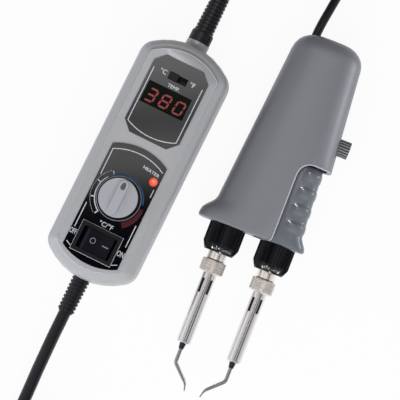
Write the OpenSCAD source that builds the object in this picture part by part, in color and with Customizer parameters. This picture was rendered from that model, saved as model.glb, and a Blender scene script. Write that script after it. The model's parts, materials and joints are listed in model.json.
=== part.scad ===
// Soldering tweezers: a handpiece with two hot arms, and its in-line temperature controller.
// Both lie on a bench at z = 0. The handpiece points along Y with its tips at -Y, and the controller
// lies to its left. The origin is the middle of the two units, on the bench. All sizes are in millimetres.

/* [Layout] */
// Handpiece axis, right of the middle of the part
handle_x = 34.8; // [32:0.2:45]
// Front face of the handpiece housing, along Y
handle_y = -10.2; // [-15:0.2:-5]
// Controller centre, left of the middle of the part
controller_x = -33.2; // [-45:0.2:-32]
// Controller centre, along Y
controller_y = 2.8; // [0:0.2:6]
// Turn of the controller about the vertical
controller_turn = -5; // [-8:0.5:0]

/* [Controller case] */
// Length over the arched ends
case_l = 128; // [124:1:140]
// Width
case_w = 48.5; // [47:0.5:54]
// Height of the raised face above the bench
case_h = 30; // [29:0.5:34]
// Wall thickness
case_wall = 2.2; // [1.8:0.1:2.8]
// Radius of the arched ends
case_end_r = 34; // [32:1:45]
// Radius of the corners in plan
case_corner_r = 9; // [8:0.5:10]
// Height of the joint between the two shells, and of the cords
parting_z = 14; // [13:0.5:15]
// Rounding between the side wall and the face
case_edge_r = 6; // [4:0.5:7]
// Distance from the outline to the raised face
face_inset = 5.6; // [4:0.2:6]
// Height of the raised face above its shoulder
face_step = 0.8; // [0.4:0.1:1.2]
// Radius of the collar that the tool cord leaves by
cord_collar_r = 5.85; // [5.6:0.05:7]
// Length of that collar beyond the case
cord_collar_l = 2.6; // [1.5:0.1:4]

/* [Controller panel] */
// Thickness of the two labels
label_t = 0.4; // [0.2:0.1:0.6]
// Width of the two labels
label_w = 29.4; // [27:0.2:31]
// Top end of the display label, from the tool cord's end of the case
display_label_inset = 11.2; // [9:0.2:12]
// Length of the display label
display_label_l = 41.8; // [40:0.2:44]
// Corner cut of the display label
display_label_cut = 4.8; // [3:0.2:6]
// Top of the control label, at the crown of its arc
control_label_top = 6.4; // [4:0.2:8]
// Bottom of the control label, from the mains cord's end of the case
control_label_inset = 8.4; // [7.6:0.2:10]
// Radius of the arcs that end the control label
control_label_r = 30; // [26:1:40]
// Display window width
display_w = 22.6; // [20:0.2:24]
// Display window height
display_d = 11; // [9:0.2:12]
// Display window centre across the case
display_x = -0.8; // [-2:0.2:1]
// Display window centre, from the tool cord's end of the case
display_inset = 31.6; // [29:0.2:32]
// Length of the unit switch slot
unit_slot_l = 9.8; // [9:0.2:11]
// Width of the unit switch slot
unit_slot_w = 4; // [3.4:0.1:4.6]
// Unit switch centre, from the tool cord's end of the case
unit_inset = 19.6; // [18:0.2:20]
// Length of the unit switch slider
slider_l = 4.6; // [4:0.1:5]
// Temperature knob radius
knob_r = 9.6; // [9.2:0.1:10.6]
// Temperature knob height
knob_h = 5.6; // [5:0.2:8]
// Temperature knob centre along the case
knob_y = -20.4; // [-22:0.2:-19]
// Lamp diameter
lamp_d = 4.2; // [3:0.1:5]
// Lamp centre across the case
lamp_x = 11.5; // [10.5:0.1:12]
// Lamp centre along the case
lamp_y = -5.9; // [-6.4:0.1:-5]
// Rocker switch frame, across the case
switch_w = 21; // [20:0.5:23]
// Rocker switch frame, along the case
switch_d = 15; // [14:0.5:16]
// Rocker switch centre, from the mains cord's end of the case
switch_inset = 19.5; // [19:0.1:20.5]
// Half of the angle that the rocker swings through
rocker_tilt = 13; // [11:1:14]

/* [Cords] */
// Mains cord diameter
mains_d = 6.2; // [5.8:0.1:6.4]
// Tool cord diameter
tool_d = 4.5; // [4:0.1:4.6]
// Length of the mains strain relief outside the case
mains_relief_l = 18; // [15:0.5:21]
// Length of the tool cord strain relief outside its collar
tool_relief_l = 38; // [30:1:41]

/* [Handpiece housing] */
// Length of the housing
handle_l = 103.5; // [100:0.5:108]
// Width at the front, without the finger guard
handle_front_w = 53.3; // [52:0.5:56]
// Width at the back, carried on to the very end
handle_end_w = 34.6; // [33:0.5:38]
// Half of the thickness
handle_half_h = 14; // [13.5:0.5:16]
// Wall thickness
handle_wall = 2.2; // [1.8:0.1:2.6]
// Corner radius at the back
handle_corner_r = 9; // [7:0.5:11]
// Reach of the finger guard beyond the left side
guard_reach = 5; // [3:0.5:7]
// Length of the finger guard
guard_l = 12; // [9:0.5:14]
// Straight edge of the notch that shows the lever
notch_x = 6.2; // [5.8:0.1:8]
// Back end of the notch
notch_y = 42.2; // [40:0.2:44]
// Corner radius of the notch
notch_r = 7; // [4:0.5:8]
// Rounding of the housing's front corner at the notch
notch_front_r = 2; // [1:0.5:3]
// Cord hole, left of the axis
cord_hole_x = -9.1; // [-11:0.1:-8]

/* [Lever] */
// Outer edge of the lever at its back end
lever_edge_x = 19.2; // [19:0.1:20.5]
// Pivot across the housing
pivot_x = 9; // [8:0.5:10]
// Pivot along the housing
pivot_y = 70; // [68:0.5:74]
// Pivot pin radius
pivot_r = 2; // [1.5:0.25:2.5]
// Half of the lever's thickness
lever_half_h = 9.6; // [9.2:0.1:10]
// Number of finger pads
pad_count = 4; // [3:1:4]
// Spacing of the finger pads
pad_pitch = 8.7; // [7:0.1:8.8]
// Height of the finger pads above the lever's face
pad_h = 0.9; // [0.5:0.1:1.2]
// Depth of the hollows between the pads at the lever's outer edge
pad_hollow = 0.4; // [0.2:0.1:0.8]
// Spread knob centre along the housing
spread_y = 56; // [55:0.5:58]
// Spread knob radius
spread_knob_r = 4.4; // [3.8:0.1:4.8]
// Spread knob length
spread_knob_l = 5.6; // [4.4:0.2:7]

/* [Arms] */
// Fixed arm, left of the housing axis
fixed_x = -15.4; // [-16:0.1:-15]
// Moving arm, right of the housing axis
moving_x = 10.9; // [10.5:0.1:11.5]
// Collar radius over its ribs
collar_r = 9.15; // [8.8:0.05:9.4]
// Number of collar ribs
collar_ribs = 42; // [30:2:56]
// Collar length
collar_l = 14.2; // [13.6:0.2:15]
// Nut radius
nut_r = 5.85; // [5.5:0.05:6.2]
// Nut length
nut_l = 7.4; // [6.6:0.2:8]
// Start of the nut below the housing face
nut_start = 17.8; // [17.4:0.2:18.6]
// Sleeve radius
sleeve_r = 3.6; // [3.4:0.05:3.8]
// End of the sleeve below the housing face
sleeve_end = 61.6; // [60:0.2:63]
// Tip rod radius
tip_r = 0.95; // [0.8:0.05:1.1]
// Length of the tip from the sleeve to the first bend
tip_straight = 9; // [7:0.5:10]
// Angle of the tip's inward bend
tip_bend = 46; // [40:1:50]
// Straight stretch between the two bends
tip_slant = 8.4; // [7:0.2:9]

/* [Hidden] */
$fn = 48;
// Running clearance of pins and shafts, and clearance of pieces that drop into each other
run_fit = 0.05;
drop_fit = 0.15;
// Overlap of cutting shapes past the faces that they cut
past = 1;

// Controller: places along its length, tied to its two ends
display_label_top = case_l / 2 - display_label_inset;
display_label_bottom = display_label_top - display_label_l;
control_label_bottom = control_label_inset - case_l / 2;
display_y = case_l / 2 - display_inset;
unit_y = case_l / 2 - unit_inset;
switch_y = switch_inset - case_l / 2;

// Controller: heights
shoulder_z = case_h - face_step;
side_top_z = shoulder_z - case_edge_r;
ceiling_z = shoulder_z - case_wall;
side_draft = 0.8;
base_edge_r = 4;
panel_z = case_h + label_t;
board_t = 1.6;
board_top_z = ceiling_z - 6.4;
board_w = case_w - 2 * (case_wall + side_draft) - 4;

// Controller: screws
case_screw_at = [case_w / 2 - 8.2, case_l / 2 - 11.5];
case_boss_r = 3.4;
case_screw_r = 1.45;
screw_head_r = 2.8;
screw_head_h = 2;
screw_sink = 4;

// Controller: switch, slider, lamp and potentiometer
switch_body_w = switch_w - 1.8;
switch_body_d = switch_d - 2;
switch_well_w = switch_body_w - 1.8;
switch_well_d = switch_body_d - 1.8;
switch_frame_h = 1.6;
switch_body_h = 13;
rocker_sink = 0.6;
rocker_face_h = 4.1;
rocker_foot = 3;
rocker_z = panel_z + switch_frame_h - rocker_sink - rocker_face_h;
rocker_r = switch_well_w / 2 - 0.3;
rocker_d = switch_well_d - 0.6;
rocker_pin_r = 1.2;
slider_rest_x = -(unit_slot_l - slider_l) / 2 + 0.3;
slider_w = unit_slot_w - 0.6;
slider_stem = [2.2, 1.6];
unit_body = [unit_slot_l + 3, 6.4, 4.2];
pot_r = 8;
pot_h = 5.8;
pot_bush_r = 3.4;
pot_shaft_r = 3;
knob_base_z = panel_z + 0.4;
knob_cap_r = knob_r - 0.7;
knob_cap_t = 0.9;
knob_recess = 0.7;
lamp_r = lamp_d / 2 - 0.05;

// Controller: board between the switch and the case screws
board_y0 = switch_y + switch_body_d / 2 + 2.5;
board_y1 = case_screw_at.y - case_boss_r - 0.3;
board_screw_r = 0.95;
board_screw_l = board_t + 4;
small_head_r = 1.9;
small_head_h = 1.2;
triac_size = [10.2, 15, 4.4];
chip_size = [22, 7, 3.2];
chip_y = display_y - 12;
board_post_r = 2.4;
board_spots = [for (x = [-1, 1]) for (y = [board_y0 + 4, board_y1 - 4.5]) [x * (board_w / 2 - 3), y]];

// Strain reliefs: the neck fills the hole in the case, and a flange holds it from inside
mains_neck_r = 4;
tool_neck_r = 4.6;
relief_flange_r = 6.2;
relief_flange_t = 2;
relief_seat = case_wall + 0.8;
mains_bore_r = mains_d / 2 + 0.2;
tool_bore_r = tool_d / 2 + 0.2;
rib_pitch = 2;
rib_w = 1.2;

// Routes of the cords on the bench, with the coils that take up their length
mains_lead_route = [
  [-38.2, -54, 14], [-39.4, -67.5, 14], [-40.5, -81, 14], [-41.4, -91, 13.2], [-42.2, -101, 11],
  [-43, -111, 8], [-43.6, -121, 5.2], [-44.5, -132, 3.5], [-47.4, -141.5, 3.2], [-53, -150.5, 3.2],
  [-58.5, -159.5, 3.2], [-61.4, -168.5, 3.2], [-62.1, -176, 3.2]];
mains_tail_route = [[-18, -220.1, 9.4], [-10, -220.1, 8.9], [-1, -220.1, 7.5], [7, -220.1, 7]];
tool_lead_route = [
  [-28, 62.6, 14], [-26.2, 83, 14], [-24.2, 105.6, 14], [-23.9, 113, 13.4], [-24.6, 120, 11.5],
  [-26, 127, 8.5], [-28, 134, 5.4], [-29.8, 141, 3.1], [-30.6, 147, 2.4], [-30.75, 152, 2.4]];
tool_tail_route = [
  [32.75, 152, 6.9], [32.5, 144, 7], [31.7, 135, 7.8], [30.4, 126, 9.5], [28.9, 117, 11.5],
  [27.5, 108, 13.1], [26.3, 100, 13.9], [25.7, 92, 14], [25.7, 77, 14]];
mains_coil_at = [-18, -176];
mains_coil_r = 34.6;
tool_coil_at = [1, 152];
tool_coil_r = 25;
coil_layers = 2;
coil_rings = 4;
cord_sides = 8;

// Mains plug with two round pins
plug_at = [20, -220.1, 7];
plug_l = 36;
plug_half_w = 17.6;
plug_half_h = 6.9;
plug_relief_l = 13;
plug_pin_r = 2;
plug_pin_l = 19;
plug_pin_gap = 19;
plug_pin_root = 8;
plug_pin_cover_r = 1.65;
plug_pin_cover_l = 10;

// Handpiece: housing
axis_z = handle_half_h;
front_edge_r = 1.2;
section_steps = 14;
top_power = 2 / 2.8;
base_power = 2 / 5;
base_drop = 0.8;
slot_left_x = -2.2;
cord_hole_r = tool_d / 2 + 0.2;
handle_boss_r = 3.3;
handle_screw_r = 1.45;
handle_screw_spots = [[9.5, handle_l - 13], [-12.5, 62], [-15, 20]];
clamp_y = handle_l - 13.5;
clamp_size = [11, 5, 3.5];
clamp_gap = 0.3;
clamp_screw_x = 4.2;
clamp_screw_r = 0.95;

// Handpiece: lever, spring and spread cam
lever_left_x = 2;
lever_mid_x = 11;
lever_back_gap = 0.75;
lever_back_y = notch_y - lever_back_gap;
lever_slope = 0.055;
lever_guard_reach = 3.1;
lever_guard_l = 8;
lever_power = 2 / 3.4;
lever_step_n = 10;
pad_left_x = 10.2;
pad_fade = 1.6;
pad_share = 0.62;
pad_edge = 0.16;
arm_half_h = 5;
arm_half_w = 5;
arm_start_y = lever_back_y - 6;
pivot_boss_r = 6;
pivot_gap = 0.3;
spring_y = 26;
spring_seat_x = -8;
spring_r = 2.8;
spring_wire_r = 0.4;
spring_turns = 6;
spring_steps = 8;
lever_side_x = pivot_x + arm_half_w;
follower_r = 0.8;
follower_l = 0.8;
cam_gap = 1.4;
cam_x = lever_side_x + follower_l + cam_gap;
cam_lift = 1.05;
cam_toe = 0.1;
cam_sweep = 320;
cam_start = 190;
cam_steps = 32;
cam_r = 3.8;
cam_track_r = 2.7;
cam_t = 1.2;
cam_hub_r = 2.6;
cam_hub_l = 2.8;
spread_shank_r = 1.5;
spread_knob_gap = 0.35;
spread_knob_sink = 0.7;
spread_pocket_fit = 0.4;
spread_pocket_cut = 6;
spread_knob_x = handle_half_w(spread_y) - spread_knob_sink + spread_knob_gap;
spread_flutes = 18;

// Arms, measured along each arm from the housing face towards the tip
socket_root_r = 7;
socket_root_l = 6;
socket_stub_r = 6.2;
socket_stub_l = 9;
socket_bore_r = 3.2;
neck_flange_t = 1.5;
neck_flange_r = 6.1;
neck_r = 4.8;
neck_thread_r = 4.2;
neck_end = nut_start + nut_l - 2.8;
collar_face = 0.3;
collar_rim_l = 1;
collar_taper_l = 2.9;
collar_rib_l = collar_l - collar_face - collar_taper_l - collar_rim_l;
collar_rim_r = collar_r - 1.35;
collar_rib_h = 0.45;
sleeve_flange_t = 1;
sleeve_bore_r = sleeve_r - 0.8;
sleeve_mouth_r = 1.75;
heater_r = 1.9;
tip_body_r = sleeve_bore_r - 0.15;
sleeve_slot_start = nut_start + nut_l + 2.8;
sleeve_slot_l = 7.4;
sleeve_slot_w = 1.5;
sleeve_slot_spread = 36;
sleeve_slot_cut = 2.4;
tip_body_start = sleeve_slot_start + sleeve_slot_l + 1.5;
ferrule_l = 3.2;
bend_r = 3;
bend_back = 32;
bend_back_r = 5.5;
tip_end_l = 2.4;
tip_point_r = 0.3;

// Places of the two units
module at_controller() {
  translate([controller_x, controller_y, 0]) rotate([0, 0, controller_turn]) children();
}
module at_handle() {
  translate([handle_x, handle_y, 0]) children();
}
// An arm's own axis: z runs from the housing face towards the tip
module at_arm(x) {
  at_handle() translate([x, 0, axis_z]) rotate([90, 0, 0]) children();
}
// z runs outwards along the controller's length: end is 1 at the tool cord and -1 at the mains cord
module at_case_end(end) {
  at_controller() translate([0, end * case_l / 2, parting_z]) rotate([-90 * end, 0, 0]) children();
}

// A closed skin over rings of equal point count, wound anticlockwise as seen from the last ring
module skin(rings) {
  n = len(rings[0]);
  last = (len(rings) - 1) * n;
  walls = [for (j = [0:len(rings) - 2]) for (i = [0:n - 1])
    let (a = j * n + i, b = j * n + (i + 1) % n)
    each [[a, a + n, b + n], [a, b + n, b]]];
  first_cap = [for (i = [0:n - 1]) i];
  last_cap = [for (i = [n - 1:-1:0]) last + i];
  polyhedron([for (r = rings) each r], concat([first_cap], walls, [last_cap]));
}

function unit(v) = v / norm(v);
function smooth(s) = let (t = min(1, max(0, s))) t * t * (3 - 2 * t);
function power(v, e) = sign(v) * pow(abs(v), e);

// Ring of a round tube about a point, for a path that never runs along the reference direction
function tube_ring(p, along, ref, r, sides) =
  let (side = unit(cross(along, ref)), up = cross(side, along))
  [for (i = [0:sides - 1]) p + r * (cos(360 * i / sides) * up + sin(360 * i / sides) * side)];
function path_along(path, i) =
  unit(path[min(i + 1, len(path) - 1)] - path[max(i - 1, 0)]);
function tube_rings(path, radii, ref, sides) =
  [for (i = [0:len(path) - 1]) tube_ring(path[i], path_along(path, i), ref, radii[i], sides)];
module cord(route, d) {
  skin(tube_rings(route, [for (p = route) d / 2], [0, 0, 1], cord_sides));
}
module coil(at, r, d) {
  translate(at) rotate_extrude() translate([r - coil_rings * d / 2, 0])
    square([coil_rings * d, coil_layers * d + 0.1]);
}

// Controller outline: two corners and an arched end, turned half round for the other end
function case_outline(inset) =
  let (corner = case_corner_r - inset,
       end = case_end_r - inset,
       cx = case_w / 2 - case_corner_r,
       ey = case_l / 2 - case_end_r,
       cy = ey + sqrt(pow(case_end_r - case_corner_r, 2) - cx * cx),
       meet = atan2(cy - ey, cx))
  [for (s = [1, -1]) each [
    for (i = [0:5]) let (a = meet * i / 5) s * [cx + corner * cos(a), cy + corner * sin(a)],
    for (i = [1:7]) let (a = meet + (180 - 2 * meet) * i / 8) s * [end * cos(a), ey + end * sin(a)],
    for (i = [0:5]) let (a = 180 - meet + meet * i / 5) s * [-cx + corner * cos(a), cy + corner * sin(a)]]];
function case_ring(inset, z) = [for (p = case_outline(inset)) [p.x, p.y, z]];

module case_top_form() {
  skin(concat(
    [case_ring(0, parting_z)],
    [for (i = [0:5]) let (a = 18 * i)
      case_ring(side_draft + (face_inset - side_draft) * (1 - cos(a)), side_top_z + case_edge_r * sin(a))],
    [case_ring(face_inset + 0.2, shoulder_z + face_step * 0.6), case_ring(face_inset + 0.6, case_h)]));
}
module case_top_cavity() {
  skin([case_ring(case_wall, parting_z - past),
    case_ring(case_wall + side_draft, side_top_z),
    case_ring(face_inset + 0.6, ceiling_z)]);
}
module case_base_form() {
  skin(concat(
    [case_ring(side_draft + base_edge_r, -past)],
    [for (i = [4:-1:0]) let (a = 22.5 * i)
      case_ring(side_draft + base_edge_r * (1 - cos(a)), base_edge_r * (1 - sin(a)))],
    [case_ring(0, parting_z)]));
}
module case_base_cavity() {
  skin([case_ring(side_draft + case_wall + 2, case_wall),
    case_ring(case_wall + 0.5, base_edge_r + 2),
    case_ring(case_wall, parting_z + past)]);
}
module case_bosses() {
  for (x = [-1, 1]) for (y = [-1, 1])
    translate([x * case_screw_at.x, y * case_screw_at.y, -past]) cylinder(r = case_boss_r, h = case_h);
}
module case_screw_holes(r) {
  for (x = [-1, 1]) for (y = [-1, 1])
    translate([x * case_screw_at.x, y * case_screw_at.y, -past]) cylinder(r = r, h = parting_z + past + 9);
}
module half_space(z0, up) {
  reach = case_l + handle_l;
  translate([-reach, -reach, up ? z0 : z0 - reach]) cube([2 * reach, 2 * reach, reach]);
}
// Holes that both strain reliefs pass through, in the case's own frame
module relief_holes() {
  translate([0, case_l / 2 + cord_collar_l + past, parting_z]) rotate([90, 0, 0])
    cylinder(r = tool_neck_r + run_fit, h = cord_collar_l + past + case_wall + 4);
  translate([0, -case_l / 2 + case_wall + 4, parting_z]) rotate([90, 0, 0])
    cylinder(r = mains_neck_r + run_fit, h = case_wall + 4 + past);
}
module cord_collar() {
  translate([0, case_l / 2 + cord_collar_l, parting_z]) rotate([90, 0, 0])
    cylinder(r = cord_collar_r, h = cord_collar_l + case_wall - 0.4);
}

module case_top() {
  color("silver") at_controller() difference() {
    union() {
      difference() {
        case_top_form();
        difference() {
          case_top_cavity();
          case_bosses();
          for (p = board_spots) translate([p.x, p.y, board_top_z]) cylinder(r = board_post_r, h = case_h);
        }
      }
      intersection() {
        cord_collar();
        half_space(parting_z, true);
      }
    }
    relief_holes();
    case_screw_holes(case_screw_r + run_fit);
    for (p = board_spots) translate([p.x, p.y, board_top_z - past])
      cylinder(r = board_screw_r + run_fit, h = past + 4.5);
    translate([display_x, display_y, case_h])
      cube([display_w + 2 * drop_fit, display_d + 2 * drop_fit, 12], true);
    translate([0, unit_y, case_h]) cube([unit_slot_l, unit_slot_w, 12], true);
    translate([0, switch_y, case_h])
      cube([switch_body_w + 2 * drop_fit, switch_body_d + 2 * drop_fit, 12], true);
    translate([0, knob_y, ceiling_z - past]) cylinder(r = pot_bush_r + 0.3, h = case_h);
    translate([lamp_x, lamp_y, ceiling_z - past]) cylinder(r = lamp_r + 0.1, h = case_h);
  }
}

module case_bottom() {
  color("silver") at_controller() difference() {
    union() {
      difference() {
        case_base_form();
        difference() {
          case_base_cavity();
          case_bosses();
        }
      }
      intersection() {
        cord_collar();
        half_space(parting_z, false);
      }
    }
    half_space(0, false);
    relief_holes();
    case_screw_holes(case_screw_r + drop_fit);
    for (x = [-1, 1]) for (y = [-1, 1])
      translate([x * case_screw_at.x, y * case_screw_at.y, -past])
        cylinder(r = screw_head_r + drop_fit, h = screw_sink + past);
  }
}

// Screw pointing up, with its head's upper face at z = 0
module screw(head_r, head_h, shank_r, l) {
  translate([0, 0, -head_h]) cylinder(r = head_r, h = head_h);
  cylinder(r = shank_r, h = l);
}
module case_screws() {
  color("dimgray") at_controller() for (x = [-1, 1]) for (y = [-1, 1])
    translate([x * case_screw_at.x, y * case_screw_at.y, screw_sink])
      screw(screw_head_r, screw_head_h, case_screw_r, parting_z - screw_sink + 8);
}

module display_label() {
  w = label_w / 2;
  cut = display_label_cut;
  color("#35383c") at_controller() translate([0, 0, case_h]) linear_extrude(label_t) difference() {
    polygon([
      [w, display_label_bottom + cut], [w, display_label_top - cut],
      [w - cut, display_label_top], [cut - w, display_label_top],
      [-w, display_label_top - cut], [-w, display_label_bottom + cut],
      [cut - w, display_label_bottom], [w - cut, display_label_bottom]]);
    translate([display_x, display_y]) square([display_w + 2 * drop_fit, display_d + 2 * drop_fit], true);
    translate([0, unit_y]) square([unit_slot_l, unit_slot_w], true);
  }
}

module control_label() {
  l = control_label_top - control_label_bottom;
  color("#1d1e20") at_controller() translate([0, 0, case_h]) linear_extrude(label_t) difference() {
    intersection() {
      translate([-label_w / 2, control_label_bottom - past]) square([label_w, l + 2 * past]);
      union() {
        translate([0, control_label_top - control_label_r]) circle(control_label_r, $fn = 96);
        translate([0, control_label_bottom + control_label_r]) circle(control_label_r, $fn = 96);
      }
    }
    translate([0, knob_y]) circle(pot_bush_r + 0.3);
    translate([lamp_x, lamp_y]) circle(lamp_r + 0.1);
    translate([0, switch_y]) square([switch_body_w + 2 * drop_fit, switch_body_d + 2 * drop_fit], true);
  }
}

module display_window() {
  color("#200a0c") at_controller() translate([display_x, display_y, panel_z - 0.6])
    cube([display_w, display_d, 1.2], true);
}
module display_module() {
  h = panel_z - 1.2 - board_top_z;
  color("black") at_controller() translate([display_x, display_y, board_top_z + h / 2])
    cube([display_w, display_d, h], true);
}

module unit_switch_body() {
  color("dimgray") at_controller() translate([0, unit_y, board_top_z]) difference() {
    translate([0, 0, unit_body.z / 2]) cube(unit_body, true);
    translate([0, 0, unit_body.z]) cube([unit_slot_l - 1, slider_stem.y + 0.6, 3.6], true);
  }
}
module unit_switch_slider() {
  head_z0 = board_top_z + unit_body.z + 0.3;
  head_z1 = panel_z + 1;
  color("#1c1c1e") at_controller() translate([slider_rest_x, unit_y, 0]) difference() {
    union() {
      translate([-slider_l / 2, -slider_w / 2, head_z0]) cube([slider_l, slider_w, head_z1 - head_z0]);
      translate([-slider_stem.x / 2, -slider_stem.y / 2, head_z0 - 1.5])
        cube([slider_stem.x, slider_stem.y, 2]);
    }
    for (i = [-1.5:1:1.5]) translate([i * slider_l / 4.6, 0, head_z1]) cube([0.45, slider_w + 2, 0.8], true);
  }
}

module pot_body() {
  color("gray") at_controller() translate([0, knob_y, board_top_z]) difference() {
    union() {
      cylinder(r = pot_r, h = pot_h);
      cylinder(r = pot_bush_r, h = case_h - 0.5 - board_top_z);
    }
    translate([0, 0, 1]) cylinder(r = pot_shaft_r + run_fit, h = case_h);
  }
}
module pot_shaft() {
  z0 = board_top_z + 1 + run_fit;
  color("lightgray") at_controller() translate([0, knob_y, z0])
    cylinder(r = pot_shaft_r, h = knob_base_z + knob_h - 1.7 - knob_recess - z0);
}
// Black knob: a skirt at its foot, hollow inside, with a socket for the shaft and a recess for the cap
module temperature_knob() {
  top = knob_h - knob_recess - 1.4;
  color("#17181a") at_controller() translate([0, knob_y, knob_base_z]) rotate_extrude() polygon([
    [pot_shaft_r + 0.02, 0], [5, 0], [5, top - 1.2], [knob_r - 1.6, top - 1.2], [knob_r - 1.6, 0],
    [knob_r + 0.7, 0], [knob_r + 0.7, 0.7], [knob_r, 1], [knob_r - 0.15, knob_h - 0.4],
    [knob_r - 0.45, knob_h],
    [knob_cap_r + 0.05, knob_h], [knob_cap_r + 0.05, knob_h - knob_recess], [0, knob_h - knob_recess],
    [0, top], [pot_shaft_r + 0.02, top]]);
}
// Silver cap with a raised grip bar across it
module knob_cap() {
  bar_l = 2 * knob_cap_r - 4.6;
  color("#c4c5c8") at_controller() translate([0, knob_y, knob_base_z + knob_h - knob_recess]) {
    cylinder(r = knob_cap_r, h = knob_cap_t);
    translate([0, 0, knob_cap_t]) linear_extrude(1.9) union() {
      square([4.4, bar_l], true);
      for (s = [-1, 1]) translate([0, s * bar_l / 2]) circle(2.2);
    }
  }
}

module heater_lamp() {
  base_h = ceiling_z - 0.6 - board_top_z;
  stem_h = panel_z + 0.3 - board_top_z;
  color("#f0531f") at_controller() translate([lamp_x, lamp_y, board_top_z]) rotate_extrude() union() {
    square([lamp_r + 0.4, base_h]);
    square([lamp_r, stem_h]);
    translate([0, stem_h - 0.8]) intersection() {
      circle(lamp_r);
      square(lamp_r + 1);
    }
  }
}

module switch_frame() {
  h = switch_body_h;
  color("#141416") at_controller() translate([0, switch_y, panel_z]) difference() {
    union() {
      translate([0, 0, switch_frame_h / 2]) cube([switch_w, switch_d, switch_frame_h], true);
      translate([0, 0, -h / 2]) cube([switch_body_w, switch_body_d, h], true);
      for (x = [-4, 4]) translate([x, 0, -h - 2.5]) cube([0.8, 4.8, 5.4], true);
    }
    translate([0, 0, 2]) cube([switch_well_w, switch_well_d, 2 * h], true);
    translate([0, switch_body_d / 2 + past, rocker_z - panel_z]) rotate([90, 0, 0])
      cylinder(r = rocker_pin_r + run_fit, h = switch_body_d + 2 * past);
  }
}
// Rocker with a valley across its middle, at rest with its right half pressed flat
module switch_rocker() {
  valley = rocker_face_h / cos(rocker_tilt);
  brow = valley + tan(rocker_tilt) * rocker_r;
  color("#0f0f10") at_controller() translate([0, switch_y, rocker_z]) rotate([0, rocker_tilt, 0]) {
    translate([0, rocker_d / 2, 0]) rotate([90, 0, 0]) linear_extrude(rocker_d) intersection() {
      circle(rocker_r, $fn = 96);
      polygon([[-rocker_r, -rocker_foot], [rocker_r, -rocker_foot], [rocker_r, brow], [0, valley],
        [-rocker_r, brow]]);
    }
    translate([0, switch_well_d / 2 + 0.55, 0]) rotate([90, 0, 0])
      cylinder(r = rocker_pin_r, h = switch_well_d + 1.1);
  }
}

module circuit_board() {
  color("#1f6b3a") at_controller() translate([0, 0, board_top_z - board_t])
    linear_extrude(board_t) difference() {
      translate([-board_w / 2, board_y0]) square([board_w, board_y1 - board_y0]);
      for (p = board_spots) translate([p.x, p.y]) circle(board_screw_r + drop_fit);
    }
}
module board_screws() {
  color("gray") at_controller() for (p = board_spots) translate([p.x, p.y, board_top_z - board_t])
    screw(small_head_r, small_head_h, board_screw_r, board_screw_l);
}
module triac() {
  color("#222222") at_controller() translate([0, knob_y, board_top_z - board_t - triac_size.z / 2])
    cube(triac_size, true);
}
module control_chip() {
  color("#2a2a2a") at_controller() translate([0, chip_y, board_top_z - board_t - chip_size.z / 2])
    cube(chip_size, true);
}

// Ribbed sleeve with a flange inside the case; profile of radius over distance from the case
function ribs(r0, r1, depth, s0, l) = let (n = floor(l / rib_pitch)) [
  for (i = [0:n - 1]) let (r = r0 + (r1 - r0) * i / n, s = s0 + l * i / n)
  each [[r, s], [r, s + rib_w], [r - depth, s + rib_w], [r - depth, s + l / n]]];
module mains_strain_relief() {
  color("#1b1b1d") at_case_end(-1) rotate_extrude() polygon(concat(
    [[mains_bore_r, -relief_seat - relief_flange_t], [relief_flange_r, -relief_seat - relief_flange_t],
     [relief_flange_r, -relief_seat], [mains_neck_r, -relief_seat], [mains_neck_r, 0]],
    ribs(4.5, 4.2, 0.6, 0, mains_relief_l), [[mains_bore_r, mains_relief_l]]));
}
module tool_strain_relief() {
  foot = 6;
  c = cord_collar_l;
  color("#1b1b1d") at_case_end(1) rotate_extrude() polygon(concat(
    [[tool_bore_r, -relief_seat - relief_flange_t], [relief_flange_r, -relief_seat - relief_flange_t],
     [relief_flange_r, -relief_seat], [tool_neck_r, -relief_seat], [tool_neck_r, c],
     [cord_collar_r - 0.2, c], [cord_collar_r - 0.2, c + foot - 1], [cord_collar_r - 0.8, c + foot]],
    ribs(4.9, 4.2, 0.7, c + foot, tool_relief_l - foot), [[tool_bore_r, c + tool_relief_l]]));
}

module mains_cord_lead() {
  color("#202022") cord(mains_lead_route, mains_d);
}
module mains_cord_tail() {
  color("#202022") cord(mains_tail_route, mains_d);
}
module mains_cord_coil() {
  color("#202022") coil(mains_coil_at, mains_coil_r, mains_d);
}
module tool_cord_lead() {
  color("#202022") cord(tool_lead_route, tool_d);
}
module tool_cord_tail() {
  color("#202022") cord(tool_tail_route, tool_d);
}
module tool_cord_coil() {
  color("#202022") coil(tool_coil_at, tool_coil_r, tool_d);
}

// Flat plug that widens from the cord to its face, with rounded-rectangle sections
function plug_ring(x, w, h) = [for (i = [0:23]) let (a = 15 * i)
  [x, w * power(cos(a), 0.6), h * power(sin(a), 0.6)]];
module mains_plug() {
  rounding = 1.2;
  color("#1b1b1d") translate(plug_at) difference() {
    union() {
      skin(concat(
        [for (i = [0:6]) let (s = i / 6)
          plug_ring(s * (plug_l - rounding), 6 + (plug_half_w - 6) * smooth(s * 1.15),
            5 + (plug_half_h - 5) * smooth(s))],
        [plug_ring(plug_l, plug_half_w - rounding, plug_half_h - rounding)]));
      rotate([0, -90, 0]) rotate_extrude() polygon(concat(
        [[0, -past], [4.8, -past]], ribs(4.8, 4, 0.6, 0, plug_relief_l), [[0, plug_relief_l]]));
    }
    for (s = [-1, 1]) translate([plug_l - plug_pin_root, s * plug_pin_gap / 2, 0]) rotate([0, 90, 0])
      cylinder(r = plug_pin_cover_r + 0.02, h = plug_pin_root + past);
  }
}
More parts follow.
